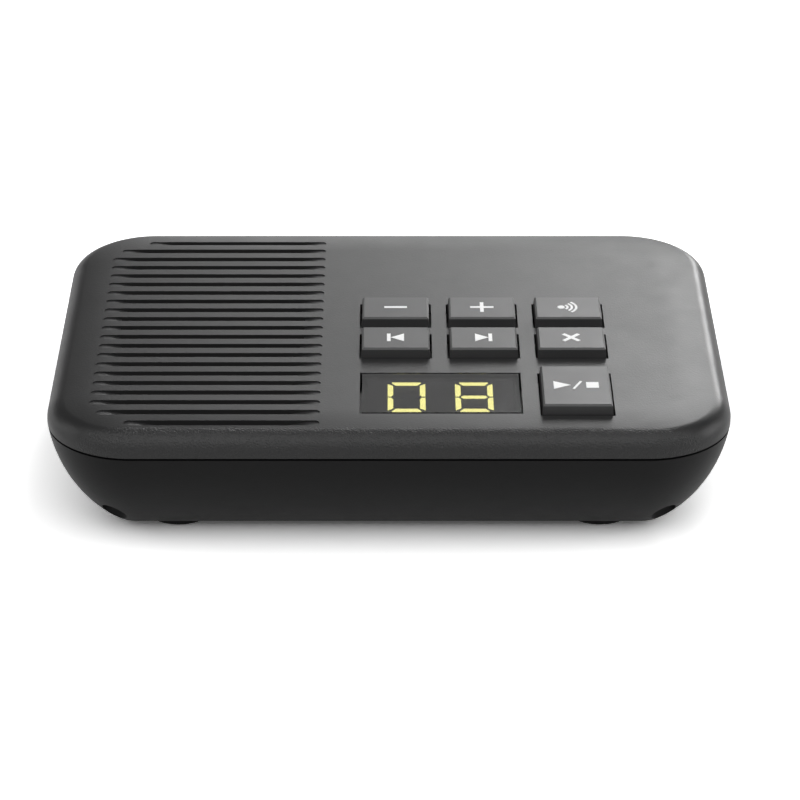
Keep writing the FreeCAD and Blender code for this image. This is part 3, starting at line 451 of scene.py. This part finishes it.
def groove_rows():
    """A tree of groove cutters: bars with half-round ends, whose floors rise towards the ends."""
    tree, given = new_tree("groove_rows", GROOVE_SIZES)
    line = add_node(tree, "GeometryNodeMeshLine", {"Count": given["Rows"], "Offset": (0, 0, 0)})
    number = add_node(tree, "GeometryNodeInputIndex").outputs[0]
    rows = add_node(tree, "GeometryNodeStoreNamedAttribute",
                    {"Geometry": line.outputs[0], "Name": "row", "Value": number})
    bar = add_node(tree, "GeometryNodeMeshCube",
                   {"Size": (2, 2, 2), "Vertices X": BAR_STATIONS, "Vertices Y": 2, "Vertices Z": 2})
    spot = add_node(tree, "GeometryNodeInputPosition").outputs[0]
    marked = add_node(tree, "GeometryNodeStoreNamedAttribute",
                      {"Geometry": bar.outputs[0], "Name": "spot", "Value": spot},
                      data_type="FLOAT_VECTOR")
    bars = add_node(tree, "GeometryNodeInstanceOnPoints",
                    {"Points": rows.outputs[0], "Instance": marked.outputs[0]})
    bars = add_node(tree, "GeometryNodeRealizeInstances", {"Geometry": bars.outputs[0]})
    row = add_node(tree, "GeometryNodeInputNamedAttribute", {"Name": "row"}).outputs[0]
    spot = add_node(tree, "GeometryNodeInputNamedAttribute", {"Name": "spot"},
                    data_type="FLOAT_VECTOR")
    u, v, w = add_node(tree, "ShaderNodeSeparateXYZ", {0: spot.outputs[0]}).outputs

    # The outer rows start later, where the grille's corner arc crosses them
    last = reckon(tree, "SUBTRACT", given["Rows"], 1)
    step = reckon(tree, "MINIMUM", row, reckon(tree, "SUBTRACT", last, row))
    across = reckon(tree, "SUBTRACT", given["Corner"], given["Edge"])
    across = reckon(tree, "SUBTRACT", across, reckon(tree, "MULTIPLY", step, given["Pitch"]))
    across = reckon(tree, "MULTIPLY", across, reckon(tree, "LESS_THAN", step, SHORTENED_ROWS - 0.5))
    square = reckon(tree, "MULTIPLY", given["Corner"], given["Corner"])
    along = reckon(tree, "SQRT",
                   reckon(tree, "SUBTRACT", square, reckon(tree, "MULTIPLY", across, across)))
    left = reckon(tree, "ADD", given["Left"], reckon(tree, "SUBTRACT", given["Corner"], along))

    # Each bar's stations go along the round end, the slope and the even middle
    half = reckon(tree, "MULTIPLY", reckon(tree, "SUBTRACT", given["Right"], left), 0.5)
    middle = reckon(tree, "MULTIPLY", reckon(tree, "ADD", given["Right"], left), 0.5)
    share = reckon(tree, "SUBTRACT", 1.0, reckon(tree, "ABSOLUTE", u))
    turn = passing(tree, share, 0.0, ROUND_SHARE, 0.0, math.pi / 2)
    round_end = reckon(tree, "SUBTRACT", given["Bend"],
                       reckon(tree, "MULTIPLY", given["Bend"], reckon(tree, "COSINE", turn)))
    rest = reckon(tree, "SUBTRACT", given["Slope"], given["Bend"])
    slope = passing(tree, share, ROUND_SHARE, SLOPE_SHARE, 0.0, rest)
    flat = passing(tree, share, SLOPE_SHARE, 1.0, 0.0, given["Slope"])
    near = reckon(tree, "ADD", round_end, reckon(tree, "ADD", slope, flat))
    side = reckon(tree, "SIGN", u)
    x = reckon(tree, "ADD", middle,
               reckon(tree, "MULTIPLY", side, reckon(tree, "SUBTRACT", half, near)))
    width = reckon(tree, "MULTIPLY", given["Bend"], reckon(tree, "SINE", turn))
    y = reckon(tree, "ADD", given["Front"], reckon(tree, "MULTIPLY", row, given["Pitch"]))

    # The floors follow the cover's sag and rise towards their ends
    beyond = reckon(tree, "SUBTRACT", reckon(tree, "ABSOLUTE", y), given["Crown"])
    beyond = reckon(tree, "MAXIMUM", beyond, 0.0)
    drop = reckon(tree, "MULTIPLY", reckon(tree, "MULTIPLY", beyond, beyond), given["Sag"])
    y = reckon(tree, "ADD", y, reckon(tree, "MULTIPLY", v, width))
    depth = passing(tree, near, given["Bend"], given["Slope"], given["End Depth"], given["Depth"],
                    "SMOOTHSTEP")
    floor = reckon(tree, "SUBTRACT", reckon(tree, "SUBTRACT", given["Top"], depth), drop)
    z = passing(tree, w, -1.0, 1.0, floor, reckon(tree, "ADD", given["Top"], OVERRUN))
    shaped = add_node(tree, "GeometryNodeSetPosition",
                      {"Geometry": bars.outputs[0], "Position": vector(tree, x, y, z)})
    closed = add_node(tree, "GeometryNodeMergeByDistance",
                      {"Geometry": shaped.outputs[0], "Distance": 0.001 * MM})
    return finish_tree(tree, given, closed.outputs[0])


SLOT_SIZES = {
    "Rows": ROWS, "Pitch": ROW_PITCH, "Front": ROW_FRONT,
    "Speaker X": SPEAKER_X, "Speaker Y": SPEAKER_Y, "Reach": SPEAKER_RADIUS - SLOT_INSET,
    "Width": SLOT_WIDTH, "Low": CEILING - OVERRUN, "High": TOP - GROOVE_DEPTH / 2,
}


def speaker_slots():
    """A tree of bars as long as the speaker is wide at each row, which open the grooves above it."""
    tree, given = new_tree("speaker_slots", SLOT_SIZES)
    level = reckon(tree, "MULTIPLY", reckon(tree, "ADD", given["Low"], given["High"]), 0.5)
    start = vector(tree, given["Speaker X"], given["Front"], level)
    line = add_node(tree, "GeometryNodeMeshLine",
                    {"Count": given["Rows"], "Start Location": start,
                     "Offset": vector(tree, y=given["Pitch"])})
    spot = add_node(tree, "GeometryNodeInputPosition").outputs[0]
    y = add_node(tree, "ShaderNodeSeparateXYZ", {0: spot}).outputs[1]
    off = reckon(tree, "ABSOLUTE", reckon(tree, "SUBTRACT", y, given["Speaker Y"]))
    off = reckon(tree, "ADD", off, reckon(tree, "MULTIPLY", given["Width"], 0.5))
    square = reckon(tree, "MULTIPLY", given["Reach"], given["Reach"])
    left = reckon(tree, "SUBTRACT", square, reckon(tree, "MULTIPLY", off, off))
    chord = reckon(tree, "SQRT", reckon(tree, "MAXIMUM", left, 0.0))
    size = vector(tree, reckon(tree, "MULTIPLY", chord, 2.0), given["Width"],
                  reckon(tree, "SUBTRACT", given["High"], given["Low"]))
    bar = add_node(tree, "GeometryNodeMeshCube", {"Size": (1, 1, 1)})
    bars = add_node(tree, "GeometryNodeInstanceOnPoints",
                    {"Points": line.outputs[0], "Selection": reckon(tree, "GREATER_THAN", left, 0.0),
                     "Instance": bar.outputs[0], "Scale": size})
    bars = add_node(tree, "GeometryNodeRealizeInstances", {"Geometry": bars.outputs[0]})
    return finish_tree(tree, given, bars.outputs[0])


def grown(name, tree, sizes):
    """A plain piece made by a tree with its sizes and the cover's material."""
    piece = new_piece(name, bpy.data.meshes.new(name))
    rule = piece.modifiers.new("rule", "NODES")
    rule.node_group = tree
    values = {**sizes, "Material": FINISHES["cover_plastic"]}
    for socket in tree.interface.items_tree:
        if socket.in_out == "INPUT":
            rule[socket.identifier] = values[socket.name]
    mesh = evaluated(piece, name)
    piece.modifiers.clear()
    piece.data = mesh
    return piece


def make_cover():
    """The top cover with its grille and openings, in place of the CAD node."""
    rings = [housing_ring(inset, z) for inset, z in cover_profile()]
    cover = new_piece("cover", mesh_of("cover", lambda shape: add_loft(shape, rings)))
    combine(cover, "UNION", cover_inside)
    combine(cover, "DIFFERENCE", key_rooms)
    combine(cover, "DIFFERENCE", top_openings)
    combine(cover, "DIFFERENCE", grown("grooves", groove_rows(), GROOVE_SIZES))
    combine(cover, "DIFFERENCE", grown("slots", speaker_slots(), SLOT_SIZES))
    finish_surface(cover)
    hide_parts("top_cover")
    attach(cover, "housing")
    wear(cover, "cover_plastic")


# Bottom case

WELL_STEPS = 40
FOOT_STEPS = 48


def bowl_inset(z, wall):
    """How far inside the outline the bowl's surface lies at a height."""
    drop = BOWL_CENTRE - z
    return BOWL_RADIUS * math.cos(BOWL_LEAN) - math.sqrt((BOWL_RADIUS - wall) ** 2 - drop * drop)


def bowl_rings(wall, bottom, top, steps=20):
    """Rings from the bowl's flat bottom up to a height."""
    rings = [housing_ring(bowl_inset(bottom, wall) + CAP_MARGIN, bottom)]
    turns = [math.asin((BOWL_CENTRE - z) / (BOWL_RADIUS - wall)) for z in (bottom, top)]
    for step in range(steps + 1):
        turn = turns[0] + (turns[1] - turns[0]) * step / steps
        z = BOWL_CENTRE - (BOWL_RADIUS - wall) * math.sin(turn)
        rings.append(housing_ring(bowl_inset(z, wall), z))
    return rings


def case_skin(shape):
    """The bowl's outside, its rim and tongue, and its inside."""
    rim = SEAM - SEAM_GAP
    rings = bowl_rings(0, FOOT_DROP, rim)
    rings += [housing_ring(TONGUE_INSET, rim), housing_ring(TONGUE_INSET, TONGUE_TOP)]
    rings.append(housing_ring(bowl_inset(SEAM, WALL), TONGUE_TOP))
    rings += list(reversed(bowl_rings(WALL, FLOOR, SEAM)))
    add_loft(shape, rings)


def case_solid(shape):
    """The bowl, filled out to the middle of its wall."""
    middle = WALL / 2
    add_loft(shape, bowl_rings(middle, FOOT_DROP + middle, SEAM - SEAM_GAP))


def standoff_places():
    """The board's two back screws, off its corners, and two front ones, off its sides and key row."""
    low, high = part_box("main_board")
    row_two = key_box("skip_back")
    middle = (row_two[0].y + row_two[1].y) / 2
    return [
        (low.x + 4 * MM, high.y - 4.5 * MM),
        (high.x - 4.5 * MM, high.y - 4.5 * MM),
        (low.x + 3.5 * MM, middle - 6.5 * MM),
        (high.x - 5 * MM, middle - 8 * MM),
    ]


def case_walls(shape):
    """The wells' walls, the standoffs and the block that the cable bay is cut from."""
    for x, y in corners_of(POST_X, POST_Y):
        add_prism(shape, circle_outline(x, y, WELL_WALL_RADIUS, WELL_STEPS), FOOT_DROP, SHELF_TOP)
    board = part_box("main_board")[0].z
    for x, y in standoff_places():
        add_prism(shape, circle_outline(x, y, STANDOFF_RADIUS), FLOOR - EMBED, board)
    add_box(shape, BAY_X, (DEPTH / 2 + PANEL_FRONT) / 2, BAY_BLOCK_WIDTH, DEPTH / 2 - PANEL_FRONT,
            FOOT_DROP, BAY_ROOF + WALL)


def cable_bay(shape):
    """The bay that the plugs stand in, open below and behind."""
    add_box(shape, BAY_X, PANEL_BACK + BAY_REACH / 2, BAY_WIDTH, BAY_REACH, -OVERRUN, BAY_ROOF)


def case_recesses(shape):
    """The wells, the feet's recesses and the standoffs' holes."""
    for x, y in corners_of(POST_X, POST_Y):
        add_prism(shape, circle_outline(x, y, WELL_RADIUS, WELL_STEPS), -OVERRUN, SHELF)
    for name in FEET:
        low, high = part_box(name)
        middle = (low + high) / 2
        radius = (high.x - low.x) / 2 + FOOT_GAP
        add_prism(shape, circle_outline(middle.x, middle.y, radius, FOOT_STEPS), -OVERRUN, high.z)
    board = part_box("main_board")[0].z
    for x, y in standoff_places():
        add_prism(shape, circle_outline(x, y, SMALL_BORE, BORE_STEPS), board - STANDOFF_BORE_DEPTH,
                  board + OVERRUN)


def case_windows(shape):
    """The windows in front of the sockets and the screws' holes in the wells' shelves."""
    for name, mouth in SOCKET_MOUTHS.items():
        low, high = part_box(name)
        middle = (low + high) / 2
        add_box(shape, middle.x, (PANEL_BACK + PANEL_FRONT) / 2, mouth + WINDOW_PLAY, WINDOW_DEPTH,
                middle.z - WINDOW_BELOW, middle.z + WINDOW_ABOVE)
    for x, y in corners_of(POST_X, POST_Y):
        add_prism(shape, circle_outline(x, y, SHELF_HOLE, BORE_STEPS), SHELF - OVERRUN,
                  SHELF_TOP + OVERRUN)


def make_case():
    """The bottom case with its wells and the cable bay, in place of the CAD node."""
    case = new_piece("case", mesh_of("case", case_skin))
    walls = new_piece("walls", mesh_of("walls", case_walls))
    combine(walls, "INTERSECT", case_solid)
    combine(case, "UNION", walls)
    combine(case, "DIFFERENCE", case_recesses)
    combine(case, "DIFFERENCE", cable_bay)
    combine(case, "DIFFERENCE", case_windows)
    finish_surface(case)
    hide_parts("bottom_case")
    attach(case, "housing")
    wear(case, "case_plastic")


# The display's lit segments, a to g, as corners in millimetres about a digit's middle

UPPER = [(2.55, 5.48), (1.9, 4.55), (-1.9, 4.55), (-2.55, 5.48)]
SIDE = [(3.3, 4.9), (2.35, 4.15), (2.35, 0.95), (2.72, 0.34), (3.3, 0.34)]
MIDDLE = [(2.3, 0), (1.85, 0.42), (-1.85, 0.42), (-2.3, 0), (-1.85, -0.42), (1.85, -0.42)]
DIGIT_PITCH = 11.85


def flipped(outline, across, up):
    """An outline mirrored where a sign is negative."""
    return [(across * x, up * y) for x, y in outline]


SEGMENTS = {
    "a": UPPER, "b": SIDE, "c": flipped(SIDE, 1, -1), "d": flipped(UPPER, 1, -1),
    "e": flipped(SIDE, -1, -1), "f": flipped(SIDE, -1, 1), "g": MIDDLE,
}


def make_digits():
    """The lit segments of both digits, in the space the CAD node holds."""
    low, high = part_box("display_segments")
    middle = (low + high) / 2

    def build(shape):
        for side, lit in ((-1, "abcdef"), (1, "abcdefg")):
            for letter in lit:
                points = [(middle.x + (side * DIGIT_PITCH / 2 + x) * MM, middle.y + y * MM)
                          for x, y in SEGMENTS[letter]]
                add_prism(shape, points, low.z, high.z)
    digits = new_piece("digits", mesh_of("digits", build))
    digits.data.materials.append(FINISHES["lit_segment"])
    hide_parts("display_segments")
    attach(digits, "housing")


# Printed marks on the keys, as outlines in millimetres about each key's middle

PRINT = 0.03 * MM


def stroke(start, end, width):
    """A straight stroke as four corners."""
    along = (Vector(end) - Vector(start)).normalized()
    side = Vector((-along.y, along.x)) * width / 2
    return [Vector(start) - side, Vector(end) - side, Vector(end) + side, Vector(start) + side]


def arc_stroke(middle, radius, width, half_angle, steps=14):
    """A curved stroke open to the left."""
    turns = [math.radians(-half_angle + 2 * half_angle * k / steps) for k in range(steps + 1)]
    sides = []
    for reach in (radius + width / 2, radius - width / 2):
        sides.append([(middle + reach * math.cos(turn), reach * math.sin(turn)) for turn in turns])
    outer, inner = sides
    return outer + list(reversed(inner))


MARKS = {
    "minus": [stroke((-2.08, 0), (2.08, 0), 0.7)],
    "plus": [
        stroke((-2.15, 0), (-0.33, 0), 0.64),
        stroke((0, -2.0), (0, 2.0), 0.66),
        stroke((0.33, 0), (2.15, 0), 0.64),
    ],
    "paging": [circle_outline(-1.25, 0, 0.66, 24)] + [
        arc_stroke(-1.15, radius, 0.42, 50) for radius in (1.08, 1.86, 2.66)
    ],
    "skip_back": [
        stroke((-1.24, -1.52), (-1.24, 1.52), 0.66),
        [(-0.91, 0), (1.5, -1.52), (1.5, 1.52)],
    ],
    "skip_forward": [
        [(-1.5, 1.52), (-1.5, -1.52), (0.91, 0)],
        stroke((1.24, -1.52), (1.24, 1.52), 0.66),
    ],
    "delete": [
        [(-1.66, -1.14), (-1.14, -1.62), (0, -0.5), (1.14, -1.62), (1.66, -1.14), (0.52, 0),
         (1.66, 1.14), (1.14, 1.62), (0, 0.5), (-1.14, 1.62), (-1.66, 1.14), (-0.52, 0)],
    ],
    "play": [
        [(-3.95, 1.48), (-3.95, -1.48), (-0.95, 0)],
        stroke((-0.5, -1.45), (0.9, 1.45), 0.42),
        [(1.75, -1.08), (3.92, -1.08), (3.92, 1.08), (1.75, 1.08)],
    ],
}


def make_marks(ink):
    """Each key's mark as a thin print on its top, riding with the key."""
    for name in KEYS:
        low, high = key_box(name)
        middle = (low + high) / 2

        def build(shape):
            for outline in MARKS[name]:
                points = [(middle.x + x * MM, middle.y + y * MM) for x, y in outline]
                add_prism(shape, points, high.z, high.z + PRINT)
        mark = new_piece(f"mark_{name}", mesh_of(f"mark_{name}", build))
        mark.data.materials.append(ink)
        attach(mark, f"button_{name}")


# Materials. The grain's size is in millimetres; noise scales are per metre.

GRAINS_PER_METRE = 1000.0
CLOUD_SCALE = 60.0
RUBBED_SCALE = 220.0
RUBBED_CHANGE = (-0.015, 0.02)
SEGMENT_CLOUD_SCALE = 900.0
SEGMENT_GLOW = 5.5
SEGMENT_DEEP = (0.92, 0.85, 0.25, 1)
SEGMENT_LIGHT = (1.0, 0.96, 0.36, 1)


def new_group(name, inputs, outputs):
    """An empty shader node group with named sockets."""
    group = bpy.data.node_groups.new(name, "ShaderNodeTree")
    for label, kind, value in inputs:
        socket = group.interface.new_socket(label, in_out="INPUT", socket_type=kind)
        socket.default_value = value
    for label, kind in outputs:
        group.interface.new_socket(label, in_out="OUTPUT", socket_type=kind)
    return group, group.nodes.new("NodeGroupInput"), group.nodes.new("NodeGroupOutput")


def moulded_grain():
    """Grain of moulded plastic: a fine height, a soft drift of tone and an uneven roughness."""
    group, given, result = new_group(
        "moulded_grain",
        [("Grain Size", "NodeSocketFloat", 0.3), ("Drift", "NodeSocketFloat", 0.1),
         ("Roughness", "NodeSocketFloat", 0.5)],
        [("Height", "NodeSocketFloat"), ("Tone", "NodeSocketFloat"), ("Roughness", "NodeSocketFloat")])
    place = add_node(group, "ShaderNodeTexCoord").outputs["Object"]
    density = reckon(group, "DIVIDE", GRAINS_PER_METRE, given.outputs["Grain Size"])
    fine = add_node(group, "ShaderNodeTexNoise",
                    {"Vector": place, "Scale": density, "Detail": 3.0, "Roughness": 0.6})
    cells = add_node(group, "ShaderNodeTexVoronoi", {"Vector": place, "Scale": density},
                     feature="SMOOTH_F1")
    height = reckon(group, "ADD", fine.outputs[0], cells.outputs["Distance"])
    cloud = add_node(group, "ShaderNodeTexNoise",
                     {"Vector": place, "Scale": CLOUD_SCALE, "Detail": 4.0})
    centred = reckon(group, "SUBTRACT", cloud.outputs[0], 0.5)
    drift = reckon(group, "MULTIPLY_ADD", centred, given.outputs["Drift"], 1.0)
    rubbed = add_node(group, "ShaderNodeTexNoise",
                      {"Vector": place, "Scale": RUBBED_SCALE, "Detail": 5.0})
    marks = passing(group, rubbed.outputs[0], 0.35, 0.7, *RUBBED_CHANGE)
    rough = reckon(group, "ADD", given.outputs["Roughness"], marks)
    group.links.new(height, result.inputs["Height"])
    group.links.new(drift, result.inputs["Tone"])
    group.links.new(rough, result.inputs["Roughness"])
    return group


GRAIN = moulded_grain()


def principled(name):
    """A new material and its Principled shader."""
    material = bpy.data.materials.new(name)
    material.use_nodes = True
    return material, material.node_tree, material.node_tree.nodes["Principled BSDF"]


def moulded(name, colour, roughness, grain, depth, drift=0.1, specular=0.5):
    """A moulded plastic or rubber with grain, a drift of tone and uneven roughness."""
    material, tree, shader = principled(name)
    group = add_node(tree, "ShaderNodeGroup", node_tree=GRAIN)
    group.inputs["Grain Size"].default_value = grain
    group.inputs["Drift"].default_value = drift
    group.inputs["Roughness"].default_value = roughness
    toned = add_node(tree, "ShaderNodeMix", {"Factor": 1.0, 6: (*colour, 1)},
                     data_type="RGBA", blend_type="MULTIPLY")
    tree.links.new(group.outputs["Tone"], toned.inputs[7])
    bump = add_node(tree, "ShaderNodeBump",
                    {"Height": group.outputs["Height"], "Distance": depth * MM, "Strength": 1.0})
    tree.links.new(toned.outputs[2], shader.inputs["Base Color"])
    tree.links.new(group.outputs["Roughness"], shader.inputs["Roughness"])
    tree.links.new(bump.outputs[0], shader.inputs["Normal"])
    shader.inputs["Specular IOR Level"].default_value = specular
    return material


def metal(name, colour, roughness):
    """A plated metal with fine uneven polish."""
    material = moulded(name, colour, roughness, 0.15, 0.004, 0.15)
    material.node_tree.nodes["Principled BSDF"].inputs["Metallic"].default_value = 1.0
    return material


def smoked_lens():
    """Dark clear acrylic with hardly any grain."""
    material = moulded("smoked_acrylic", (0.2, 0.2, 0.203), 0.09, 0.5, 0.0002, 0.03)
    shader = material.node_tree.nodes["Principled BSDF"]
    shader.inputs["Transmission Weight"].default_value = 1.0
    shader.inputs["IOR"].default_value = 1.49
    return material


def lit_segment():
    """A glowing segment with a slightly uneven yellow."""
    material, tree, shader = principled("lit_segment")
    place = add_node(tree, "ShaderNodeTexCoord").outputs["Object"]
    cloud = add_node(tree, "ShaderNodeTexNoise",
                     {"Vector": place, "Scale": SEGMENT_CLOUD_SCALE, "Detail": 2.0})
    ramp = add_node(tree, "ShaderNodeValToRGB", {"Fac": cloud.outputs[0]})
    ramp.color_ramp.elements[0].color = SEGMENT_DEEP
    ramp.color_ramp.elements[1].color = SEGMENT_LIGHT
    tree.links.new(ramp.outputs[0], shader.inputs["Emission Color"])
    tree.links.new(ramp.outputs[0], shader.inputs["Base Color"])
    shader.inputs["Emission Strength"].default_value = SEGMENT_GLOW
    shader.inputs["Roughness"].default_value = 0.5
    return material


# Colour, roughness, grain size and depth in millimetres, drift of tone, specular level
FINISHES = {
    "cover_plastic": moulded("anthracite_cover", (0.025, 0.025, 0.0253), 0.36, 0.3, 0.011, 0.05, 0.375),
    "case_plastic": moulded("black_case", (0.009, 0.009, 0.0092), 0.38, 0.26, 0.008, 0.05, 0.16),
    "key_plastic": moulded("key_satin", (0.046, 0.046, 0.0468), 0.36, 0.2, 0.003, 0.04, 0.43),
    "rubber": moulded("foot_rubber", (0.012, 0.012, 0.012), 0.8, 0.4, 0.03),
    "ink": moulded("white_ink", (0.95, 0.95, 0.95), 0.5, 0.2, 0.003, 0.03),
    "steel": metal("zinc_steel", (0.55, 0.55, 0.57), 0.35),
    "board": moulded("solder_resist", (0.01, 0.09, 0.025), 0.3, 0.6, 0.02, 0.3),
    "chip_black": moulded("chip_epoxy", (0.015, 0.015, 0.016), 0.45, 0.2, 0.01),
    "capacitor_sleeve": moulded("capacitor_sleeve", (0.01, 0.012, 0.05), 0.25, 0.5, 0.004),
    "tin_strip": metal("tinned_strip", (0.62, 0.61, 0.58), 0.3),
    "socket_plastic": moulded("socket_plastic", (0.015, 0.015, 0.015), 0.45, 0.25, 0.01),
    "gold_wire": metal("gold_plating", (0.9, 0.62, 0.22), 0.22),
    "smoked_lens": smoked_lens(),
    "display_black": moulded("display_face", (0.02, 0.02, 0.021), 0.6, 0.2, 0.005),
    "lit_segment": lit_segment(),
    "gasket_foam": moulded("gasket_foam", (0.012, 0.012, 0.012), 0.9, 0.5, 0.08),
    "magnet_ferrite": moulded("magnet_ferrite", (0.05, 0.05, 0.052), 0.55, 0.3, 0.02),
    "cone_paper": moulded("cone_paper", (0.012, 0.012, 0.013), 0.85, 0.8, 0.05),
    "switch_plastic": moulded("switch_plastic", (0.02, 0.02, 0.02), 0.45, 0.25, 0.01),
    "plunger_plastic": moulded("plunger_plastic", (0.5, 0.49, 0.46), 0.4, 0.25, 0.005),
}


# The front roll's grain depth in millimetres, and how far in from the edge it keeps that depth
FRONT_GRAIN = 0.11
FULL_GRAIN = 2.4 * MM


def deepen_front_grain(material, depth):
    """Let the grain stand out where the cover rolls over its front edge."""
    tree = material.node_tree
    place = add_node(tree, "ShaderNodeTexCoord").outputs["Object"]
    across = add_node(tree, "ShaderNodeSeparateXYZ", {0: place}).outputs[1]
    bump = next(node for node in tree.nodes if node.bl_idname == "ShaderNodeBump")
    plain = bump.inputs["Distance"].default_value
    edge = -DEPTH / 2
    relief = passing(tree, across, edge + FULL_GRAIN, edge + ROLL, depth * MM, plain)
    tree.links.new(relief, bump.inputs["Distance"])


deepen_front_grain(FINISHES["cover_plastic"], FRONT_GRAIN)


def dress_nodes():
    """Give each CAD node the finish of its material slot."""
    slots = {part["node"]: part["material_slot"] for part in frame["record"]["subparts"]}
    for name, node in frame["nodes"].items():
        for slot in node.material_slots:
            slot.material = FINISHES[slots[name]]


# Stage, lights and camera

ROOM_LIGHT = 0.01
WHITE = (1, 1, 1, 1)

# The floor's size, its colour for lighting rays and for straight looks, and its glow near and far
FLOOR_HALF = 3.0
FLOOR_PLAIN = 0.8
FLOOR_BRIGHT = 1.75
NEAR_GLOW = 0.08
FAR_GLOW = 1.0
GLOW_START = 0.6
GLOW_END = 1.4

# Heights on the sky between which the white band of the horizon fades
BAND_TOP = 0.12
BAND_FADED = 0.2

# Bearings to the right of straight behind, rises above the floor in degrees, and powers in watts
PANELS = [(0, 15, 1.0), (0, 27, 0.22), (12, 27, 3.1), (12, 40, 2.3), (24, 15, 4.8)]
PANEL_SIDE = 0.34
PANEL_DISTANCE = 1.6

# Wider boxes: place, width, height and watts
BOXES = {
    "left_box": ((-1.3, 0.1, 0.6), 0.8, 0.8, 2.6),
    "right_box": ((1.3, 0.1, 0.45), 0.8, 0.7, 4.0),
    "ceiling": ((0, -0.65, 1.3), 2.4, 1.6, 23),
}
LIGHT_TARGET = Vector((0, 0, 0.02))

# Camera: place, downward pitch, lens and the picture's shift as a share of its width
CAMERA_PLACE = (0, -559.3 * MM, 298.2 * MM)
CAMERA_PITCH = 27.3
CAMERA_LENS = 153.9
CAMERA_SHIFT = 11 / 800


def seen_mask(tree):
    """One for rays that look straight, by reflection or through glass, and none for lighting rays."""
    path = add_node(tree, "ShaderNodeLightPath").outputs
    seen = reckon(tree, "MAXIMUM", path["Is Camera Ray"], path["Is Glossy Ray"])
    return reckon(tree, "MAXIMUM", seen, path["Is Transmission Ray"])


def make_stage():
    """A pale floor that reads as white and keeps the object's soft shadow."""
    half = FLOOR_HALF
    corners = [(-half, -half, 0), (half, -half, 0), (half, half, 0), (-half, half, 0)]
    floor = new_piece("floor", mesh_of("floor", lambda shape: shape.faces.new(
        [shape.verts.new(corner) for corner in corners])))
    material, tree, shader = principled("floor_white")
    path = add_node(tree, "ShaderNodeLightPath").outputs
    straight = reckon(tree, "MAXIMUM", path["Is Camera Ray"], path["Is Transmission Ray"])
    tone = passing(tree, straight, 0.0, 1.0, FLOOR_PLAIN, FLOOR_BRIGHT)
    tree.links.new(tone, shader.inputs["Base Color"])
    shader.inputs["Roughness"].default_value = 0.9
    shader.inputs["Emission Color"].default_value = WHITE
    place = add_node(tree, "ShaderNodeTexCoord").outputs["Object"]
    far = add_node(tree, "ShaderNodeVectorMath", {0: place}, operation="LENGTH").outputs["Value"]
    glow = passing(tree, far, GLOW_START, GLOW_END, NEAR_GLOW, FAR_GLOW)
    glow = reckon(tree, "MULTIPLY", seen_mask(tree), glow)
    tree.links.new(glow, shader.inputs["Emission Strength"])
    floor.data.materials.append(material)


def make_world():
    """A dim plain room with a white band round the horizon as the background of low views."""
    world = bpy.data.worlds.new("studio")
    world.use_nodes = True
    bpy.context.scene.world = world
    tree = world.node_tree
    back = tree.nodes["Background"]
    way = add_node(tree, "ShaderNodeTexCoord").outputs["Generated"]
    height = add_node(tree, "ShaderNodeSeparateXYZ", {0: way}).outputs[2]
    fading = passing(tree, height, BAND_TOP, BAND_FADED, 1.0, 0.0)
    band = reckon(tree, "MULTIPLY", seen_mask(tree), fading)
    back.inputs["Color"].default_value = WHITE
    tree.links.new(passing(tree, band, 0.0, 1.0, ROOM_LIGHT, 1.0), back.inputs["Strength"])


def add_softbox(name, place, width, height, power):
    """A soft rectangular lamp aimed at the object."""
    lamp = bpy.data.lights.new(name, "AREA")
    lamp.shape = "RECTANGLE"
    lamp.size = width
    lamp.size_y = height
    lamp.energy = power
    light = bpy.data.objects.new(name, lamp)
    bpy.context.scene.collection.objects.link(light)
    light.location = place
    aim = LIGHT_TARGET - place
    light.rotation_euler = aim.to_track_quat("-Z", "Y").to_euler()


def make_lights():
    """Panels low behind the object, brighter to the right, and wider boxes from the other sides."""
    for number, (bearing, rise, power) in enumerate(PANELS):
        turn = math.radians(bearing)
        lift = math.radians(rise)
        level = math.cos(lift)
        way = Vector((level * math.sin(turn), level * math.cos(turn), math.sin(lift)))
        place = LIGHT_TARGET + PANEL_DISTANCE * way
        add_softbox(f"panel_{number}", place, PANEL_SIDE, PANEL_SIDE, power)
    for name, (place, width, height, power) in BOXES.items():
        add_softbox(name, Vector(place), width, height, power)


def make_camera():
    """The photograph's view: its distance, its pitch and its field."""
    data = bpy.data.cameras.new("camera")
    data.sensor_width = 36
    data.lens = CAMERA_LENS
    data.shift_x = CAMERA_SHIFT
    data.clip_start = 0.01
    camera = bpy.data.objects.new("camera", data)
    bpy.context.scene.collection.objects.link(camera)
    camera.location = CAMERA_PLACE
    camera.rotation_euler = (math.radians(90 - CAMERA_PITCH), 0, 0)
    bpy.context.scene.camera = camera


dress_nodes()
make_cover()
make_case()
make_digits()
make_marks(FINISHES["ink"])
make_stage()
make_world()
make_lights()
make_camera()
bpy.context.scene.view_settings.view_transform = "Standard"
